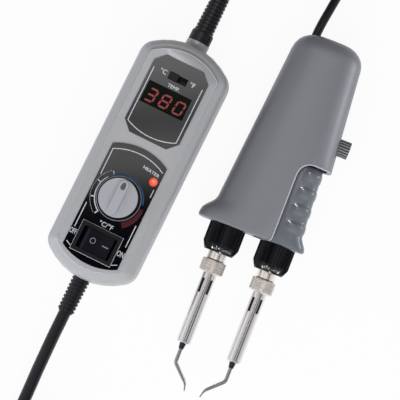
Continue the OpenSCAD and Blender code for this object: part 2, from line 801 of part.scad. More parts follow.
// Each pin is a little thinner over its insulated stretch, and bare towards its end
module plug_pins() {
  l = plug_pin_root + plug_pin_l;
  bare = plug_pin_root + plug_pin_cover_l;
  color("gainsboro") translate(plug_at) for (s = [-1, 1])
    translate([plug_l - plug_pin_root, s * plug_pin_gap / 2, 0]) rotate([0, 90, 0]) rotate_extrude()
      polygon([[0, 0], [plug_pin_cover_r, 0], [plug_pin_cover_r, bare], [plug_pin_r, bare],
        [plug_pin_r, l - 2], [1.5, l - 0.6], [0.8, l], [0, l]]);
}

// Housing: half widths and half height along its length
function handle_side(y) = handle_front_w / 2 + (handle_end_w - handle_front_w) / 2 * y / handle_l;
function corner_drop(y, r) =
  let (s = max(0, y - handle_l + handle_corner_r) / handle_corner_r) r * (1 - sqrt(max(0, 1 - s * s)));
function handle_half_w(y) = handle_side(y) - corner_drop(y, handle_corner_r);
function guard(y) = guard_reach * smooth((guard_l - y) / (guard_l * 0.72));
function handle_half_t(y) = handle_half_h - corner_drop(y, handle_corner_r * 0.7);
// Half sections: over the top from left to right, or under the base from right to left
function top_section(y, left, right, h) = [for (i = [0:section_steps]) let (a = 180 - 180 * i / section_steps)
  [(cos(a) < 0 ? left : right) * power(cos(a), top_power), y, axis_z + h * power(sin(a), top_power)]];
function base_section(y, left, right, h) = [for (i = [0:section_steps]) let (a = 180 * i / section_steps)
  [(cos(a) < 0 ? left : right) * power(cos(a), base_power), y, axis_z - h * power(sin(a), base_power)]];
// Stations along the housing as [y, inset]: rounded front edge, finger guard, straight sides, round corners
handle_stations = [
  for (i = [0:3]) [front_edge_r * (1 - cos(30 * i)), front_edge_r * (1 - sin(30 * i))],
  for (i = [1:6]) [front_edge_r + (guard_l - front_edge_r) * i / 6, 0],
  [handle_l * 0.45, 0],
  for (i = [0:6]) [handle_l - handle_corner_r * (1 - sin(15 * i)), 0]];
cavity_stations = [handle_wall, guard_l, handle_l * 0.45,
  for (i = [0:3]) handle_l - handle_corner_r * (1 - sin(12 * i)), handle_l - handle_wall];

module handle_top_form() {
  skin([for (s = handle_stations) let (y = s[0], in = s[1])
    top_section(y, handle_half_w(y) + guard(y) - in, handle_half_w(y) - in, handle_half_t(y) - in)]);
}
module handle_base_form() {
  skin([for (s = handle_stations) let (y = s[0], in = s[1])
    base_section(y, handle_half_w(y) + guard(y) - in, handle_half_w(y) - in,
      handle_half_t(y) - in + base_drop)]);
}
module handle_top_cavity() {
  w = handle_wall;
  skin([for (y = cavity_stations)
    let (ring = top_section(y, handle_half_w(y) - w, handle_half_w(y) - w, handle_half_t(y) - w))
    concat([[ring[0].x, y, axis_z - past]], ring, [[-ring[0].x, y, axis_z - past]])]);
}
module handle_base_cavity() {
  w = handle_wall;
  skin([for (y = cavity_stations)
    let (ring = base_section(y, handle_half_w(y) - w, handle_half_w(y) - w, handle_half_t(y) - w))
    concat([[ring[0].x, y, axis_z + past]], ring, [[-ring[0].x, y, axis_z + past]])]);
}
module notch() {
  translate([0, 0, -past]) linear_extrude(2 * handle_half_h + 2 * past) union() {
    translate([notch_x, -past]) square([handle_front_w, notch_y - notch_r + past]);
    translate([notch_x + notch_r, -past]) square([handle_front_w, notch_y + past]);
    translate([notch_x + notch_r, notch_y - notch_r]) circle(notch_r);
    difference() {
      translate([notch_x - notch_front_r, -past]) square([notch_front_r + past, notch_front_r + past]);
      translate([notch_x - notch_front_r, notch_front_r]) circle(notch_front_r);
    }
  }
}
module socket_boss() {
  translate([fixed_x, 0, axis_z]) rotate([-90, 0, 0])
    cylinder(r = socket_root_r + 2, h = socket_root_l + handle_wall);
}
// Everything that passes through both shells at their joint
module handle_openings() {
  notch();
  lever_room = lever_half_h - pad_h + 0.6;
  translate([slot_left_x, -past, axis_z - lever_room])
    cube([notch_x - slot_left_x + past, handle_wall + 4, 2 * lever_room]);
  translate([fixed_x, -past, axis_z]) rotate([-90, 0, 0])
    cylinder(r = socket_root_r + run_fit, h = socket_root_l + past);
  translate([fixed_x, -past, axis_z]) rotate([-90, 0, 0])
    cylinder(r = socket_bore_r, h = socket_root_l + handle_wall + 2 * past);
  translate([cord_hole_x, handle_l + past, axis_z]) rotate([90, 0, 0])
    cylinder(r = cord_hole_r, h = handle_corner_r + past);
  translate([handle_half_w(spread_y) - handle_wall - 2, spread_y, axis_z]) rotate([0, 90, 0])
    cylinder(r = spread_shank_r + run_fit, h = handle_wall + 6);
  translate([handle_half_w(spread_y) - spread_knob_sink, spread_y, axis_z]) rotate([0, 90, 0])
    cylinder(r = spread_knob_r + spread_pocket_fit, h = spread_pocket_cut);
}
module handle_bosses() {
  for (p = handle_screw_spots) translate([p.x, p.y, -past])
    cylinder(r = handle_boss_r, h = 2 * handle_half_h + 2 * past);
  socket_boss();
}
module pivot_bosses() {
  gap = arm_half_h + pivot_gap;
  translate([pivot_x, pivot_y, axis_z + gap]) cylinder(r = pivot_r + 2.2, h = handle_half_h);
  translate([pivot_x, pivot_y, axis_z - gap - handle_half_h]) cylinder(r = pivot_r + 2.2, h = handle_half_h);
}
module pivot_hole() {
  l = 2 * (handle_half_h - handle_wall - 0.8);
  translate([pivot_x, pivot_y, axis_z - l / 2]) cylinder(r = pivot_r + run_fit / 2, h = l);
}

module handle_top() {
  color("#75777c") at_handle() difference() {
    handle_top_form();
    difference() {
      handle_top_cavity();
      handle_bosses();
      pivot_bosses();
    }
    handle_openings();
    pivot_hole();
    for (p = handle_screw_spots) translate([p.x, p.y, axis_z - past])
      cylinder(r = handle_screw_r + run_fit, h = past + 5.5);
  }
}

// Ribs of the base shell: the cradle of the cord and the seat of the spring
module base_ribs() {
  translate([cord_hole_x, clamp_y, 0]) difference() {
    translate([-clamp_size.x / 2, -clamp_size.y / 2, 0]) cube([clamp_size.x, clamp_size.y, axis_z]);
    translate([0, clamp_size.y, axis_z]) rotate([90, 0, 0])
      cylinder(r = tool_d / 2 + run_fit, h = 2 * clamp_size.y);
  }
  translate([spring_seat_x - 2, spring_y - 4, 0]) cube([2, 8, axis_z + 4]);
}
module handle_bottom() {
  color("#75777c") at_handle() difference() {
    union() {
      difference() {
        handle_base_form();
        difference() {
          handle_base_cavity();
          handle_bosses();
          pivot_bosses();
          base_ribs();
        }
      }
      translate([spring_seat_x - 2, spring_y - 4, axis_z - past]) cube([2, 8, past + 4]);
      translate([spring_seat_x - past, spring_y, axis_z]) rotate([0, 90, 0]) cylinder(r = 1.7, h = 3 + past);
    }
    half_space(0, false);
    handle_openings();
    pivot_hole();
    for (p = handle_screw_spots) translate([p.x, p.y, -past]) {
      cylinder(r = handle_screw_r + drop_fit, h = axis_z + 2 * past);
      cylinder(r = screw_head_r + drop_fit, h = screw_sink + past);
    }
    for (s = [-1, 1]) translate([cord_hole_x + s * clamp_screw_x, clamp_y, axis_z - 6])
      cylinder(r = clamp_screw_r + run_fit, h = 6 + past);
  }
}
module handle_screws() {
  color("dimgray") at_handle() for (p = handle_screw_spots) translate([p.x, p.y, screw_sink])
    screw(screw_head_r, screw_head_h, handle_screw_r, axis_z - screw_sink + 5);
}
module cord_clamp() {
  color("dimgray") at_handle() translate([cord_hole_x, clamp_y, axis_z]) difference() {
    translate([-clamp_size.x / 2, -clamp_size.y / 2, clamp_gap]) cube(clamp_size);
    translate([0, clamp_size.y, 0]) rotate([90, 0, 0])
      cylinder(r = tool_d / 2 + run_fit, h = 2 * clamp_size.y);
    for (s = [-1, 1]) translate([s * clamp_screw_x, 0, 0])
      cylinder(r = clamp_screw_r + drop_fit, h = 2 * clamp_size.z);
  }
}
module clamp_screws() {
  color("gray") at_handle() for (s = [-1, 1])
    translate([cord_hole_x + s * clamp_screw_x, clamp_y, axis_z + clamp_gap + clamp_size.z])
      rotate([180, 0, 0])
        screw(small_head_r - 0.2, small_head_h, clamp_screw_r, clamp_size.z + clamp_gap + 5);
}

// Lever: a flat face with raised finger pads towards its outer edge, and a guard at its front
pad_start = lever_back_y - pad_count * pad_pitch;
function pad(y) = let (u = (y - pad_start) / pad_pitch, f = u - floor(u), low = (1 - pad_share) / 2)
  u < 0 || u > pad_count ? 0 : smooth((f - low) / pad_edge) * smooth((1 - low - f) / pad_edge);
function lever_edge(y) = lever_edge_x + lever_slope * (lever_back_y - y)
  + lever_guard_reach * smooth((lever_guard_l - y) / (lever_guard_l * 0.85)) - pad_hollow * (1 - pad(y));
lever_top_angles = [93, 90, 88, 84, 76, 64, 48, 32, 16, 0];
lever_angles = concat(lever_top_angles, [for (i = [8:-1:0]) -lever_top_angles[i]],
  [-100, -125, -150, 180, 150, 125, 100]);
function lever_section(y, in) = [for (a = lever_angles)
  let (half = cos(a) < 0 ? lever_mid_x - lever_left_x : lever_edge(y) - lever_mid_x - in,
       x = lever_mid_x + half * power(cos(a), lever_power),
       rise = pad_h * (pad(y) * smooth((x - pad_left_x) / pad_fade) - 1))
  [x, y, axis_z + (lever_half_h + rise - in) * power(sin(a), lever_power)]];
lever_stations = [[0, 1], [0.4, 0.3], [1.2, 0],
  for (i = [1:3]) [1.2 + (pad_start - 1.2) * i / 4, 0],
  for (i = [0:pad_count * lever_step_n - 2]) [pad_start + pad_pitch * i / lever_step_n, 0],
  [lever_back_y - 0.4, 0.2], [lever_back_y, 0.8]];

module squeeze_lever() {
  color("#82858d") at_handle() difference() {
    union() {
      skin([for (s = lever_stations) lever_section(s[0], s[1])]);
      translate([0, 0, axis_z - arm_half_h]) linear_extrude(2 * arm_half_h) union() {
        translate([pivot_x - arm_half_w, arm_start_y]) square([2 * arm_half_w, pivot_y - arm_start_y]);
        translate([pivot_x, pivot_y]) circle(pivot_boss_r);
      }
      translate([lever_side_x - past, spread_y, axis_z + cam_track_r]) rotate([0, 90, 0])
        cylinder(r = follower_r, h = follower_l + past);
    }
    translate([pivot_x, pivot_y, 0]) cylinder(r = pivot_r + run_fit, h = 2 * axis_z);
    translate([moving_x, -past, axis_z]) rotate([-90, 0, 0])
      cylinder(r = socket_root_r + run_fit, h = socket_root_l + past);
    translate([moving_x, -past, axis_z]) rotate([-90, 0, 0]) cylinder(r = socket_bore_r, h = arm_start_y - 4);
  }
}
module lever_pin() {
  l = 2 * (handle_half_h - handle_wall - 1);
  color("gainsboro") at_handle() translate([pivot_x, pivot_y, axis_z - l / 2]) cylinder(r = pivot_r, h = l);
}
module return_spring() {
  l = lever_left_x - spring_seat_x - 2 * spring_wire_r - 0.2;
  n = spring_turns * spring_steps;
  path = [for (i = [0:n]) let (a = 360 * i / spring_steps)
    [spring_seat_x + spring_wire_r + 0.1 + l * i / n, spring_y + spring_r * cos(a),
      axis_z + spring_r * sin(a)]];
  color("silver") at_handle() skin(tube_rings(path, [for (p = path) spring_wire_r], [1, 0, 0], 6));
}

// Spread adjuster: a knob outside the housing turns a spindle with a face cam, whose ramp limits the
// lever's follower
module at_spread(x) {
  at_handle() translate([x, spread_y, axis_z]) rotate([0, 90, 0]) children();
}
module spread_knob() {
  n = spread_flutes;
  color("#3c403e") at_spread(spread_knob_x) difference() {
    linear_extrude(spread_knob_l) polygon([for (i = [0:2 * n - 1])
      let (r = spread_knob_r - (i % 2) * 0.35, a = 180 * i / n) r * [cos(a), sin(a)]]);
    translate([0, 0, -past]) cylinder(r = spread_shank_r + 0.02, h = spread_knob_l - 1);
  }
}
module spread_spindle() {
  color("gainsboro") at_spread(cam_x + 0.2)
    cylinder(r = spread_shank_r, h = spread_knob_x + spread_knob_l - 2.1 - cam_x - 0.2);
}
// Ramp of the cam as sections that rise towards the lever while they go round
function cam_section(i) =
  let (a = cam_start - cam_sweep * i / cam_steps,
    low = -cam_toe - (cam_lift - cam_toe) * i / cam_steps,
    r0 = spread_shank_r + 0.4,
    corners = [[cam_r, low], [cam_r, cam_t / 2], [r0, cam_t / 2], [r0, low]])
  [for (p = corners) [p[0] * cos(a), p[0] * sin(a), p[1]]];
module spread_cam() {
  color("goldenrod") at_spread(cam_x) difference() {
    union() {
      skin([for (i = [0:cam_steps]) cam_section(i)]);
      cylinder(r = cam_r - 0.3, h = cam_t);
      translate([0, 0, cam_t / 2]) cylinder(r = cam_hub_r, h = cam_hub_l - cam_t / 2);
    }
    translate([0, 0, -cam_lift - past])
      cylinder(r = spread_shank_r + 0.02, h = cam_lift + cam_hub_l + 2 * past);
  }
}

// Arm pieces, each a profile of radius over distance from the housing face
module socket() {
  rotate_extrude() polygon([
    [socket_bore_r, -socket_root_l], [socket_root_r, -socket_root_l], [socket_root_r, 0],
    [socket_stub_r, 0], [socket_stub_r, socket_stub_l], [socket_bore_r, socket_stub_l]]);
}
// Collar: a ribbed cap that screws over the socket, with a tapered shoulder and a plain rim
module collar() {
  n = collar_ribs;
  seat = socket_stub_l + neck_flange_t + run_fit;
  shoulder = collar_face + collar_rib_l;
  core_r = collar_rim_r - collar_rib_h - 0.4;
  ribbed = [for (i = [0:2 * n - 1])
    let (r = collar_r - (i % 2) * collar_rib_h, a = 180 * i / n)
    r * [cos(a), sin(a)]];
  difference() {
    union() {
      translate([0, 0, collar_face]) linear_extrude(collar_rib_l) polygon(ribbed);
      translate([0, 0, shoulder]) linear_extrude(collar_taper_l, scale = collar_rim_r / collar_r)
        polygon(ribbed);
      rotate_extrude() polygon([
        [0, shoulder - 0.5], [core_r, shoulder - 0.5], [core_r, collar_l - collar_rim_l - 0.6],
        [collar_rim_r - 0.1, collar_l - collar_rim_l - 0.2], [collar_rim_r - 0.1, collar_l - 0.4],
        [collar_rim_r - 0.5, collar_l], [0, collar_l]]);
    }
    translate([0, 0, -past]) cylinder(r = socket_stub_r + 0.1, h = seat + past);
    cylinder(r = neck_r + run_fit, h = collar_l + past);
  }
}
module neck() {
  f = socket_stub_l + run_fit / 2;
  rotate_extrude() polygon([
    [sleeve_bore_r, f], [neck_flange_r, f], [neck_flange_r, f + neck_flange_t], [neck_r, f + neck_flange_t],
    [neck_r, nut_start - 0.1], [neck_thread_r, nut_start - 0.1], [neck_thread_r, neck_end],
    [sleeve_bore_r, neck_end]]);
}
module nut() {
  end = nut_start + nut_l;
  lip = neck_end + sleeve_flange_t + 0.1;
  rotate_extrude() polygon([
    [neck_thread_r + run_fit, nut_start], [nut_r - 0.6, nut_start], [nut_r, nut_start + 0.6],
    [nut_r, end - 0.6], [nut_r - 0.6, end], [sleeve_r + run_fit, end], [sleeve_r + run_fit, lip],
    [neck_thread_r + run_fit, lip]]);
}
// Sleeve: a thin tube held by the nut, with a pair of slots on its top and on its underside, and a
// drawn-in mouth
module sleeve() {
  f = neck_end + run_fit;
  difference() {
    rotate_extrude() polygon([
      [sleeve_bore_r, f], [neck_thread_r - 0.05, f], [neck_thread_r - 0.05, f + sleeve_flange_t],
      [sleeve_r, f + sleeve_flange_t], [sleeve_r, sleeve_end - 0.9], [sleeve_r - 0.3, sleeve_end - 0.25],
      [sleeve_r - 0.8, sleeve_end], [sleeve_mouth_r, sleeve_end], [sleeve_mouth_r, sleeve_end - 0.6],
      [sleeve_bore_r, sleeve_end - 0.9]]);
    for (face = [90, 270])
      for (s = [-1, 1])
        rotate([0, 0, face + s * sleeve_slot_spread])
          translate([sleeve_r, 0, sleeve_slot_start + sleeve_slot_l / 2])
            cube([sleeve_slot_cut, sleeve_slot_w, sleeve_slot_l], true);
  }
}
module heater() {
  translate([0, 0, 1 - socket_root_l]) cylinder(r = heater_r, h = sleeve_end - 4 + socket_root_l);
}
module ferrule() {
  rotate_extrude() polygon([
    [tip_r + run_fit, sleeve_end - 0.7], [sleeve_mouth_r - run_fit, sleeve_end - 0.7],
    [sleeve_mouth_r - run_fit, sleeve_end],
    [tip_r + 0.25, sleeve_end + ferrule_l], [tip_r + run_fit, sleeve_end + ferrule_l]]);
}
// Path of the tip rod in the plane of the arms: straight, bent inwards, slanted, bent back, straight
bend_s = sleeve_end + tip_straight;
bend_end = [bend_r * (1 - cos(tip_bend)), bend_s + bend_r * sin(tip_bend)];
slant_end = bend_end + tip_slant * [sin(tip_bend), cos(tip_bend)];
back_end = slant_end + bend_back_r * [
  cos(tip_bend - bend_back) - cos(tip_bend), sin(tip_bend) - sin(tip_bend - bend_back)];
tip_end = back_end + tip_end_l * [sin(tip_bend - bend_back), cos(tip_bend - bend_back)];
tip_flat_path = [
  [0, sleeve_end - 2.5], [0, sleeve_end + ferrule_l],
  for (i = [0:4]) let (a = tip_bend * i / 4) [bend_r * (1 - cos(a)), bend_s + bend_r * sin(a)],
  slant_end,
  for (i = [1:4]) let (a = tip_bend - bend_back * i / 4)
    slant_end + bend_back_r * [cos(a) - cos(tip_bend), sin(tip_bend) - sin(a)],
  tip_end];
// The rod keeps its radius through the first bend and then tapers to its point
function tip_radius(i) = let (n = len(tip_flat_path) - 1, s = max(0, i - 6) / (n - 6))
  tip_r + (tip_point_r - tip_r) * s;
module tip(inward) {
  path = [for (p = tip_flat_path) [inward * p[0], 0, p[1]]];
  radii = [for (i = [0:len(path) - 1]) tip_radius(i)];
  bore_end = sleeve_end - 2.6;
  difference() {
    union() {
      rotate_extrude() polygon([
        [0, tip_body_start], [tip_body_r, tip_body_start], [tip_body_r, sleeve_end - 1.6],
        [tip_r, sleeve_end - 1], [0, sleeve_end - 1]]);
      skin(tube_rings(path, radii, [0, 1, 0], 12));
    }
    translate([0, 0, tip_body_start - past])
      cylinder(r = heater_r + 0.1, h = bore_end - tip_body_start + past);
  }
}

module fixed_socket() {
  color("#c9b68d") at_arm(fixed_x) socket();
}
module moving_socket() {
  color("#c9b68d") at_arm(moving_x) socket();
}
module fixed_collar() {
  color("#151517") at_arm(fixed_x) collar();
}
module moving_collar() {
  color("#151517") at_arm(moving_x) collar();
}
module fixed_neck() {
  color("#c9c4b8") at_arm(fixed_x) neck();
}
module moving_neck() {
  color("#c9c4b8") at_arm(moving_x) neck();
}
module fixed_nut() {
  color("#b9b3a6") at_arm(fixed_x) nut();
}
module moving_nut() {
  color("#b9b3a6") at_arm(moving_x) nut();
}
module fixed_sleeve() {
  color("#d0d1d3") at_arm(fixed_x) sleeve();
}
module moving_sleeve() {
  color("#d0d1d3") at_arm(moving_x) sleeve();
}
module fixed_heater() {
  color("ivory") at_arm(fixed_x) heater();
}
module moving_heater() {
  color("ivory") at_arm(moving_x) heater();
}
module fixed_ferrule() {
  color("#2b2a2a") at_arm(fixed_x) ferrule();
}
module moving_ferrule() {
  color("#2b2a2a") at_arm(moving_x) ferrule();
}
module fixed_tip() {
  color("#bfbfc2") at_arm(fixed_x) tip(1);
}
module moving_tip() {
  color("#bfbfc2") at_arm(moving_x) tip(-1);
}

case_top();
case_bottom();
case_screws();
display_label();
control_label();
display_module();
display_window();
unit_switch_body();
unit_switch_slider();
temperature_knob();
knob_cap();
pot_body();
pot_shaft();
heater_lamp();
switch_frame();
switch_rocker();
circuit_board();
board_screws();
triac();
control_chip();
mains_strain_relief();
tool_strain_relief();
mains_cord_lead();
mains_cord_coil();
mains_cord_tail();
mains_plug();
plug_pins();
tool_cord_lead();
tool_cord_coil();
tool_cord_tail();
handle_top();
handle_bottom();
handle_screws();
cord_clamp();
clamp_screws();
squeeze_lever();
lever_pin();
return_spring();
spread_knob();
spread_spindle();
spread_cam();
fixed_socket();
moving_socket();
fixed_collar();
moving_collar();
fixed_neck();
moving_neck();
fixed_nut();
moving_nut();
fixed_sleeve();
moving_sleeve();
fixed_heater();
moving_heater();
fixed_ferrule();
moving_ferrule();
fixed_tip();
moving_tip();
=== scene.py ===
# %% [markdown]
# # Soldering tweezers, dressed for a studio picture
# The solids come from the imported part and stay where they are. This lesson gives them a camera, cords,
# finishes, printed panels and the small details that a maker adds last. Every length is in metres in
# Blender, so sizes that are easier to read in millimetres are multiplied by MM.

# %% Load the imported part
import json
import math

import bmesh
import bpy
from mathutils import Matrix, Vector
from mathutils.geometry import convex_hull_2d

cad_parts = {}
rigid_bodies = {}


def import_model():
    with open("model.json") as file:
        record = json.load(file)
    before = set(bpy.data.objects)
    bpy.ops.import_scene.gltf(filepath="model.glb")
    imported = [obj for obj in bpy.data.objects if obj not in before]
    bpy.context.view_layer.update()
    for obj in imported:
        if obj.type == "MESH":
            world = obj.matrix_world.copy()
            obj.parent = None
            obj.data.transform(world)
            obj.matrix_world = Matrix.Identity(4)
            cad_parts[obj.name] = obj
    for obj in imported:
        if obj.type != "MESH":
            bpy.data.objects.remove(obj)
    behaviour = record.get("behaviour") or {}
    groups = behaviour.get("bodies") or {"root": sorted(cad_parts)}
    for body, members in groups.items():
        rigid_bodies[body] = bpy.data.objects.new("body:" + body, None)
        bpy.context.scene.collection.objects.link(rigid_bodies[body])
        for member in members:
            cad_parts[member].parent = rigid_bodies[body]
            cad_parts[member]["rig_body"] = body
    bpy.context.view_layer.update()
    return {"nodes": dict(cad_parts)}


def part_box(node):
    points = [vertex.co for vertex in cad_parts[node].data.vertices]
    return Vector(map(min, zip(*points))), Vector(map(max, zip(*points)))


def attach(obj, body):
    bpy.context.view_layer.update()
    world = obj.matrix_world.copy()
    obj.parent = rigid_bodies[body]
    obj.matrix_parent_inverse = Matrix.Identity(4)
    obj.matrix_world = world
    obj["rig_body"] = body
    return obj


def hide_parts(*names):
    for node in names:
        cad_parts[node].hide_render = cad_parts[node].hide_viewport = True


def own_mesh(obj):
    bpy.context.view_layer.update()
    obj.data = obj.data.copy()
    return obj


MM = 0.001
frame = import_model()
nodes = frame["nodes"]
scene = bpy.context.scene

# %% [markdown]
# The controller and the handpiece each have a frame of their own, because their panels and arms are
# easier to place there. A matrix takes a point from either frame to the part's frame.

# %% Places of the two units
CONTROLLER = Matrix.Translation(Vector((-33.2, 2.8, 0)) * MM) @ Matrix.Rotation(math.radians(-5), 4, "Z")
HANDLE = Matrix.Translation(Vector((34.8, -10.2, 0)) * MM)
PANEL_Z = 30.4
AXIS_Z = 14.0


def place(matrix, x, y, z):
    return matrix @ (Vector((x, y, z)) * MM)


print("controller centre", place(CONTROLLER, 0, 0, 0)[:])

# %% [markdown]
# ## The camera
# The photograph looks almost straight down, a little from its lower edge, with a long lens. The handpiece
# leans to the right in the picture, so the camera is rolled instead of the part.

# %% Camera
LEAN = math.radians(21.25)
VIEW_RIGHT = Vector((math.cos(LEAN), math.sin(LEAN), 0))
VIEW_UP = Vector((-math.sin(LEAN), math.cos(LEAN), 0))
ELEVATION = math.radians(87.4)
DISTANCE = 0.75
TARGET = Vector((1.7, -3.4, 17)) * MM
HALF_VIEW = 98.5 * MM
SENSOR = 36
UPWARD = Vector((0, 0, 1))

camera_data = bpy.data.cameras.new("camera")
camera_data.sensor_width = SENSOR
camera_data.lens = SENSOR / 2 * DISTANCE / HALF_VIEW
camera_data.clip_start = 0.01
camera = bpy.data.objects.new("camera", camera_data)
scene.collection.objects.link(camera)
back = -VIEW_UP * math.cos(ELEVATION) + UPWARD * math.sin(ELEVATION)
up = back.cross(VIEW_RIGHT)
camera.matrix_world = Matrix.Translation(TARGET + back * DISTANCE) @ Matrix(
    (VIEW_RIGHT, up, back)).transposed().to_4x4()
scene.camera = camera
print("lens", round(camera_data.lens, 1), "mm")

# %% [markdown]
# ## Shader groups
# A moulded or painted surface is never one flat colour. One group makes a soft mottle and a fine height
# for plastics. Another makes long scratches along a direction, for drawn and turned metal. Pictures could
# do this too, but noise needs no files and has no seams. Each material places the group that it needs and
# gives it its own scale. Node trees are wired by a few helpers.

# %% Node helpers


def set_inputs(node, values):
    for label, value in values.items():
        node.inputs[label].default_value = value


def wire(tree, *pairs):
    for source, target in pairs:
        tree.links.new(source, target)


def work_out(tree, node, operation, values):
    """Sets up a math node: a value that is a socket is linked, and any other is written in."""
    node.operation = operation
    for socket, value in zip(node.inputs, values):
        if isinstance(value, bpy.types.NodeSocket):
            tree.links.new(value, socket)
        else:
            socket.default_value = value


def math_node(tree, operation, *values):
    node = tree.nodes.new("ShaderNodeMath")
    work_out(tree, node, operation, values)
    return node.outputs[0]


def vector_node(tree, operation, *values):
    node = tree.nodes.new("ShaderNodeVectorMath")
    work_out(tree, node, operation, values)
    return node.outputs["Value" if operation in ("DISTANCE", "DOT_PRODUCT") else "Vector"]


print("node helpers:", math_node.__name__, vector_node.__name__)

# %% Groups for grain and for brushed lines


def group(name, inputs, outputs):
    tree = bpy.data.node_groups.new(name, "ShaderNodeTree")
    for label, value in inputs:
        kind = "NodeSocketVector" if isinstance(value, tuple) else "NodeSocketFloat"
        tree.interface.new_socket(label, in_out="INPUT", socket_type=kind).default_value = value
    for label in outputs:
        tree.interface.new_socket(label, in_out="OUTPUT", socket_type="NodeSocketFloat")
    return tree, tree.nodes.new("NodeGroupInput"), tree.nodes.new("NodeGroupOutput")


def noise(tree, vector, scale, detail):
    node = tree.nodes.new("ShaderNodeTexNoise")
    set_inputs(node, {"Detail": detail, "Roughness": 0.6})
    wire(tree, (vector, node.inputs["Vector"]), (scale, node.inputs["Scale"]))
    return node.outputs["Fac"]


grain_group, g_in, g_out = group("moulded grain", [("Scale", 300.0), ("Fine", 2500.0)], ["Mottle", "Height"])
coords = grain_group.nodes.new("ShaderNodeTexCoord")
broad = noise(grain_group, coords.outputs["Object"], g_in.outputs["Scale"], 3)
fine = noise(grain_group, coords.outputs["Object"], g_in.outputs["Fine"], 2)
wire(grain_group, (broad, g_out.inputs["Mottle"]), (fine, g_out.inputs["Height"]))

brush_group, b_in, b_out = group(
    "brushed lines", [("Stretch", (4000.0, 120.0, 4000.0)), ("Scale", 1.0)], ["Mottle", "Height"])
coords = brush_group.nodes.new("ShaderNodeTexCoord")
stretched = vector_node(brush_group, "MULTIPLY", coords.outputs["Object"], b_in.outputs["Stretch"])
lines = noise(brush_group, stretched, b_in.outputs["Scale"], 2)
wire(brush_group, (lines, b_out.inputs["Mottle"]), (lines, b_out.inputs["Height"]))
print("shader groups:", grain_group.name, "and", brush_group.name)

# %% [markdown]
# ## Finishes
# A finish is a Principled shader whose colour and roughness follow the mottle, with a small bump from the
# height. Colours are written as they look in the photograph, in sRGB, and turned into linear light once.

# %% Finish helper
BUMP_DISTANCE = 0.2 * MM
ROUGH_SWING = 0.2


def linear(rgb):
    return tuple((c / 255 / 12.92) if c < 10.3 else ((c / 255 + 0.055) / 1.055) ** 2.4 for c in rgb) + (1.0,)


def shaded(colour, share):
    return tuple(c * share for c in colour[:3]) + (1.0,)


def finish(name, rgb, rough, metal=0.0, spread=0.12, source=grain_group, settings=None, bump=0.05, shine=0.5,
           tint=None):
    material = bpy.data.materials.new(name)
    material.use_nodes = True
    tree = material.node_tree
    shader = tree.nodes["Principled BSDF"]
    set_inputs(shader, {"Metallic": metal, "Specular IOR Level": shine})
    pattern = tree.nodes.new("ShaderNodeGroup")
    pattern.node_tree = source
    set_inputs(pattern, settings or {})
    colour = linear(rgb)
    other = linear(tint) if tint else shaded(colour, 1 + 2 * spread)
    mix = tree.nodes.new("ShaderNodeMix")
    mix.data_type = "RGBA"
    set_inputs(mix, {"A": shaded(colour, 1 - spread), "B": other})
    rough_range = tree.nodes.new("ShaderNodeMapRange")
    set_inputs(rough_range, {"To Min": rough * (1 - ROUGH_SWING), "To Max": rough * (1 + ROUGH_SWING)})
    wire(tree,
         (pattern.outputs["Mottle"], mix.inputs["Factor"]),
         (mix.outputs["Result"], shader.inputs["Base Color"]),
         (pattern.outputs["Mottle"], rough_range.inputs["Value"]),
         (rough_range.outputs["Result"], shader.inputs["Roughness"]))
    if bump:
        height = tree.nodes.new("ShaderNodeBump")
        set_inputs(height, {"Strength": bump, "Distance": BUMP_DISTANCE})
        wire(tree,
             (pattern.outputs["Height"], height.inputs["Height"]),
             (height.outputs["Normal"], shader.inputs["Normal"]))
    return material


print("finishes start from", grain_group.name, "unless they ask for", brush_group.name)

# %% Finishes of the pieces
ALONG_Y = {"Stretch": (5000.0, 90.0, 5000.0)}
ROUND = {"Stretch": (90.0, 9000.0, 90.0)}
case_grey = finish("case_grey", (166, 165, 167), 0.36, spread=0.08, settings={"Scale": 1700.0}, bump=0.10)
housing_grey = finish("housing_grey", (114, 114, 119), 0.4, settings={"Scale": 1900.0}, bump=0.12, shine=0.9)
# Partly a painted highlight: the face edge's grey is lighter than the case.
edge_highlight_grey = finish("edge_highlight_grey", (176, 176, 180), 0.22, spread=0.04, settings={"Scale": 1700.0}, shine=0.6)
# Painted highlight: the lip's grey is far lighter than the housing's.
lip_highlight_grey = finish("lip_highlight_grey", (178, 179, 183), 0.3, spread=0.04, settings={"Scale": 500.0})
lever_grey = finish("lever_grey", (103, 106, 113), 0.2, spread=0.04, settings={"Scale": 600.0}, bump=0.04)
label_black = finish("label_black", (6, 6, 9), 0.06, spread=0.1, settings={"Scale": 3000.0}, bump=0.0015)
panel_black = finish("panel_black", (4, 4, 9), 0.06, spread=0.1, settings={"Scale": 3000.0}, bump=0.0015)
# Painted reflection: the green patches in the window's mottle stand for a dim reflection; its dark tone is
# its own.
window_dark_green_sheen = finish("window_dark_green_sheen", (9, 8, 8), 0.12, spread=0.3, tint=(8, 20, 10), settings={"Scale": 150.0},
                     bump=0, shine=0.03)
frame_black = finish("frame_black", (10, 10, 15), 0.3, spread=0.15, bump=0.08, shine=0.2)
rocker_black = finish("rocker_black", (10, 10, 18), 0.22, spread=0.1, bump=0.03, shine=0.15)
collar_black = finish("collar_black", (3, 3, 8), 0.16, spread=0.15, bump=0.01, shine=0.24)
relief_rubber = finish("relief_rubber", (17, 17, 22), 0.40, spread=0.15, bump=0.15, shine=0.3)
cord_black = finish("cord_black", (15, 15, 20), 0.32, spread=0.12, bump=0.06, shine=0.35)
plug_black = finish("plug_black", (22, 22, 26), 0.5, spread=0.15, bump=0.25, shine=0.3)
cap_silver = finish("cap_silver", (166, 167, 172), 0.45, metal=0.2, spread=0.06, source=brush_group,
                    settings={"Stretch": (2500.0, 150.0, 2500.0)}, bump=0.05, shine=0.3)
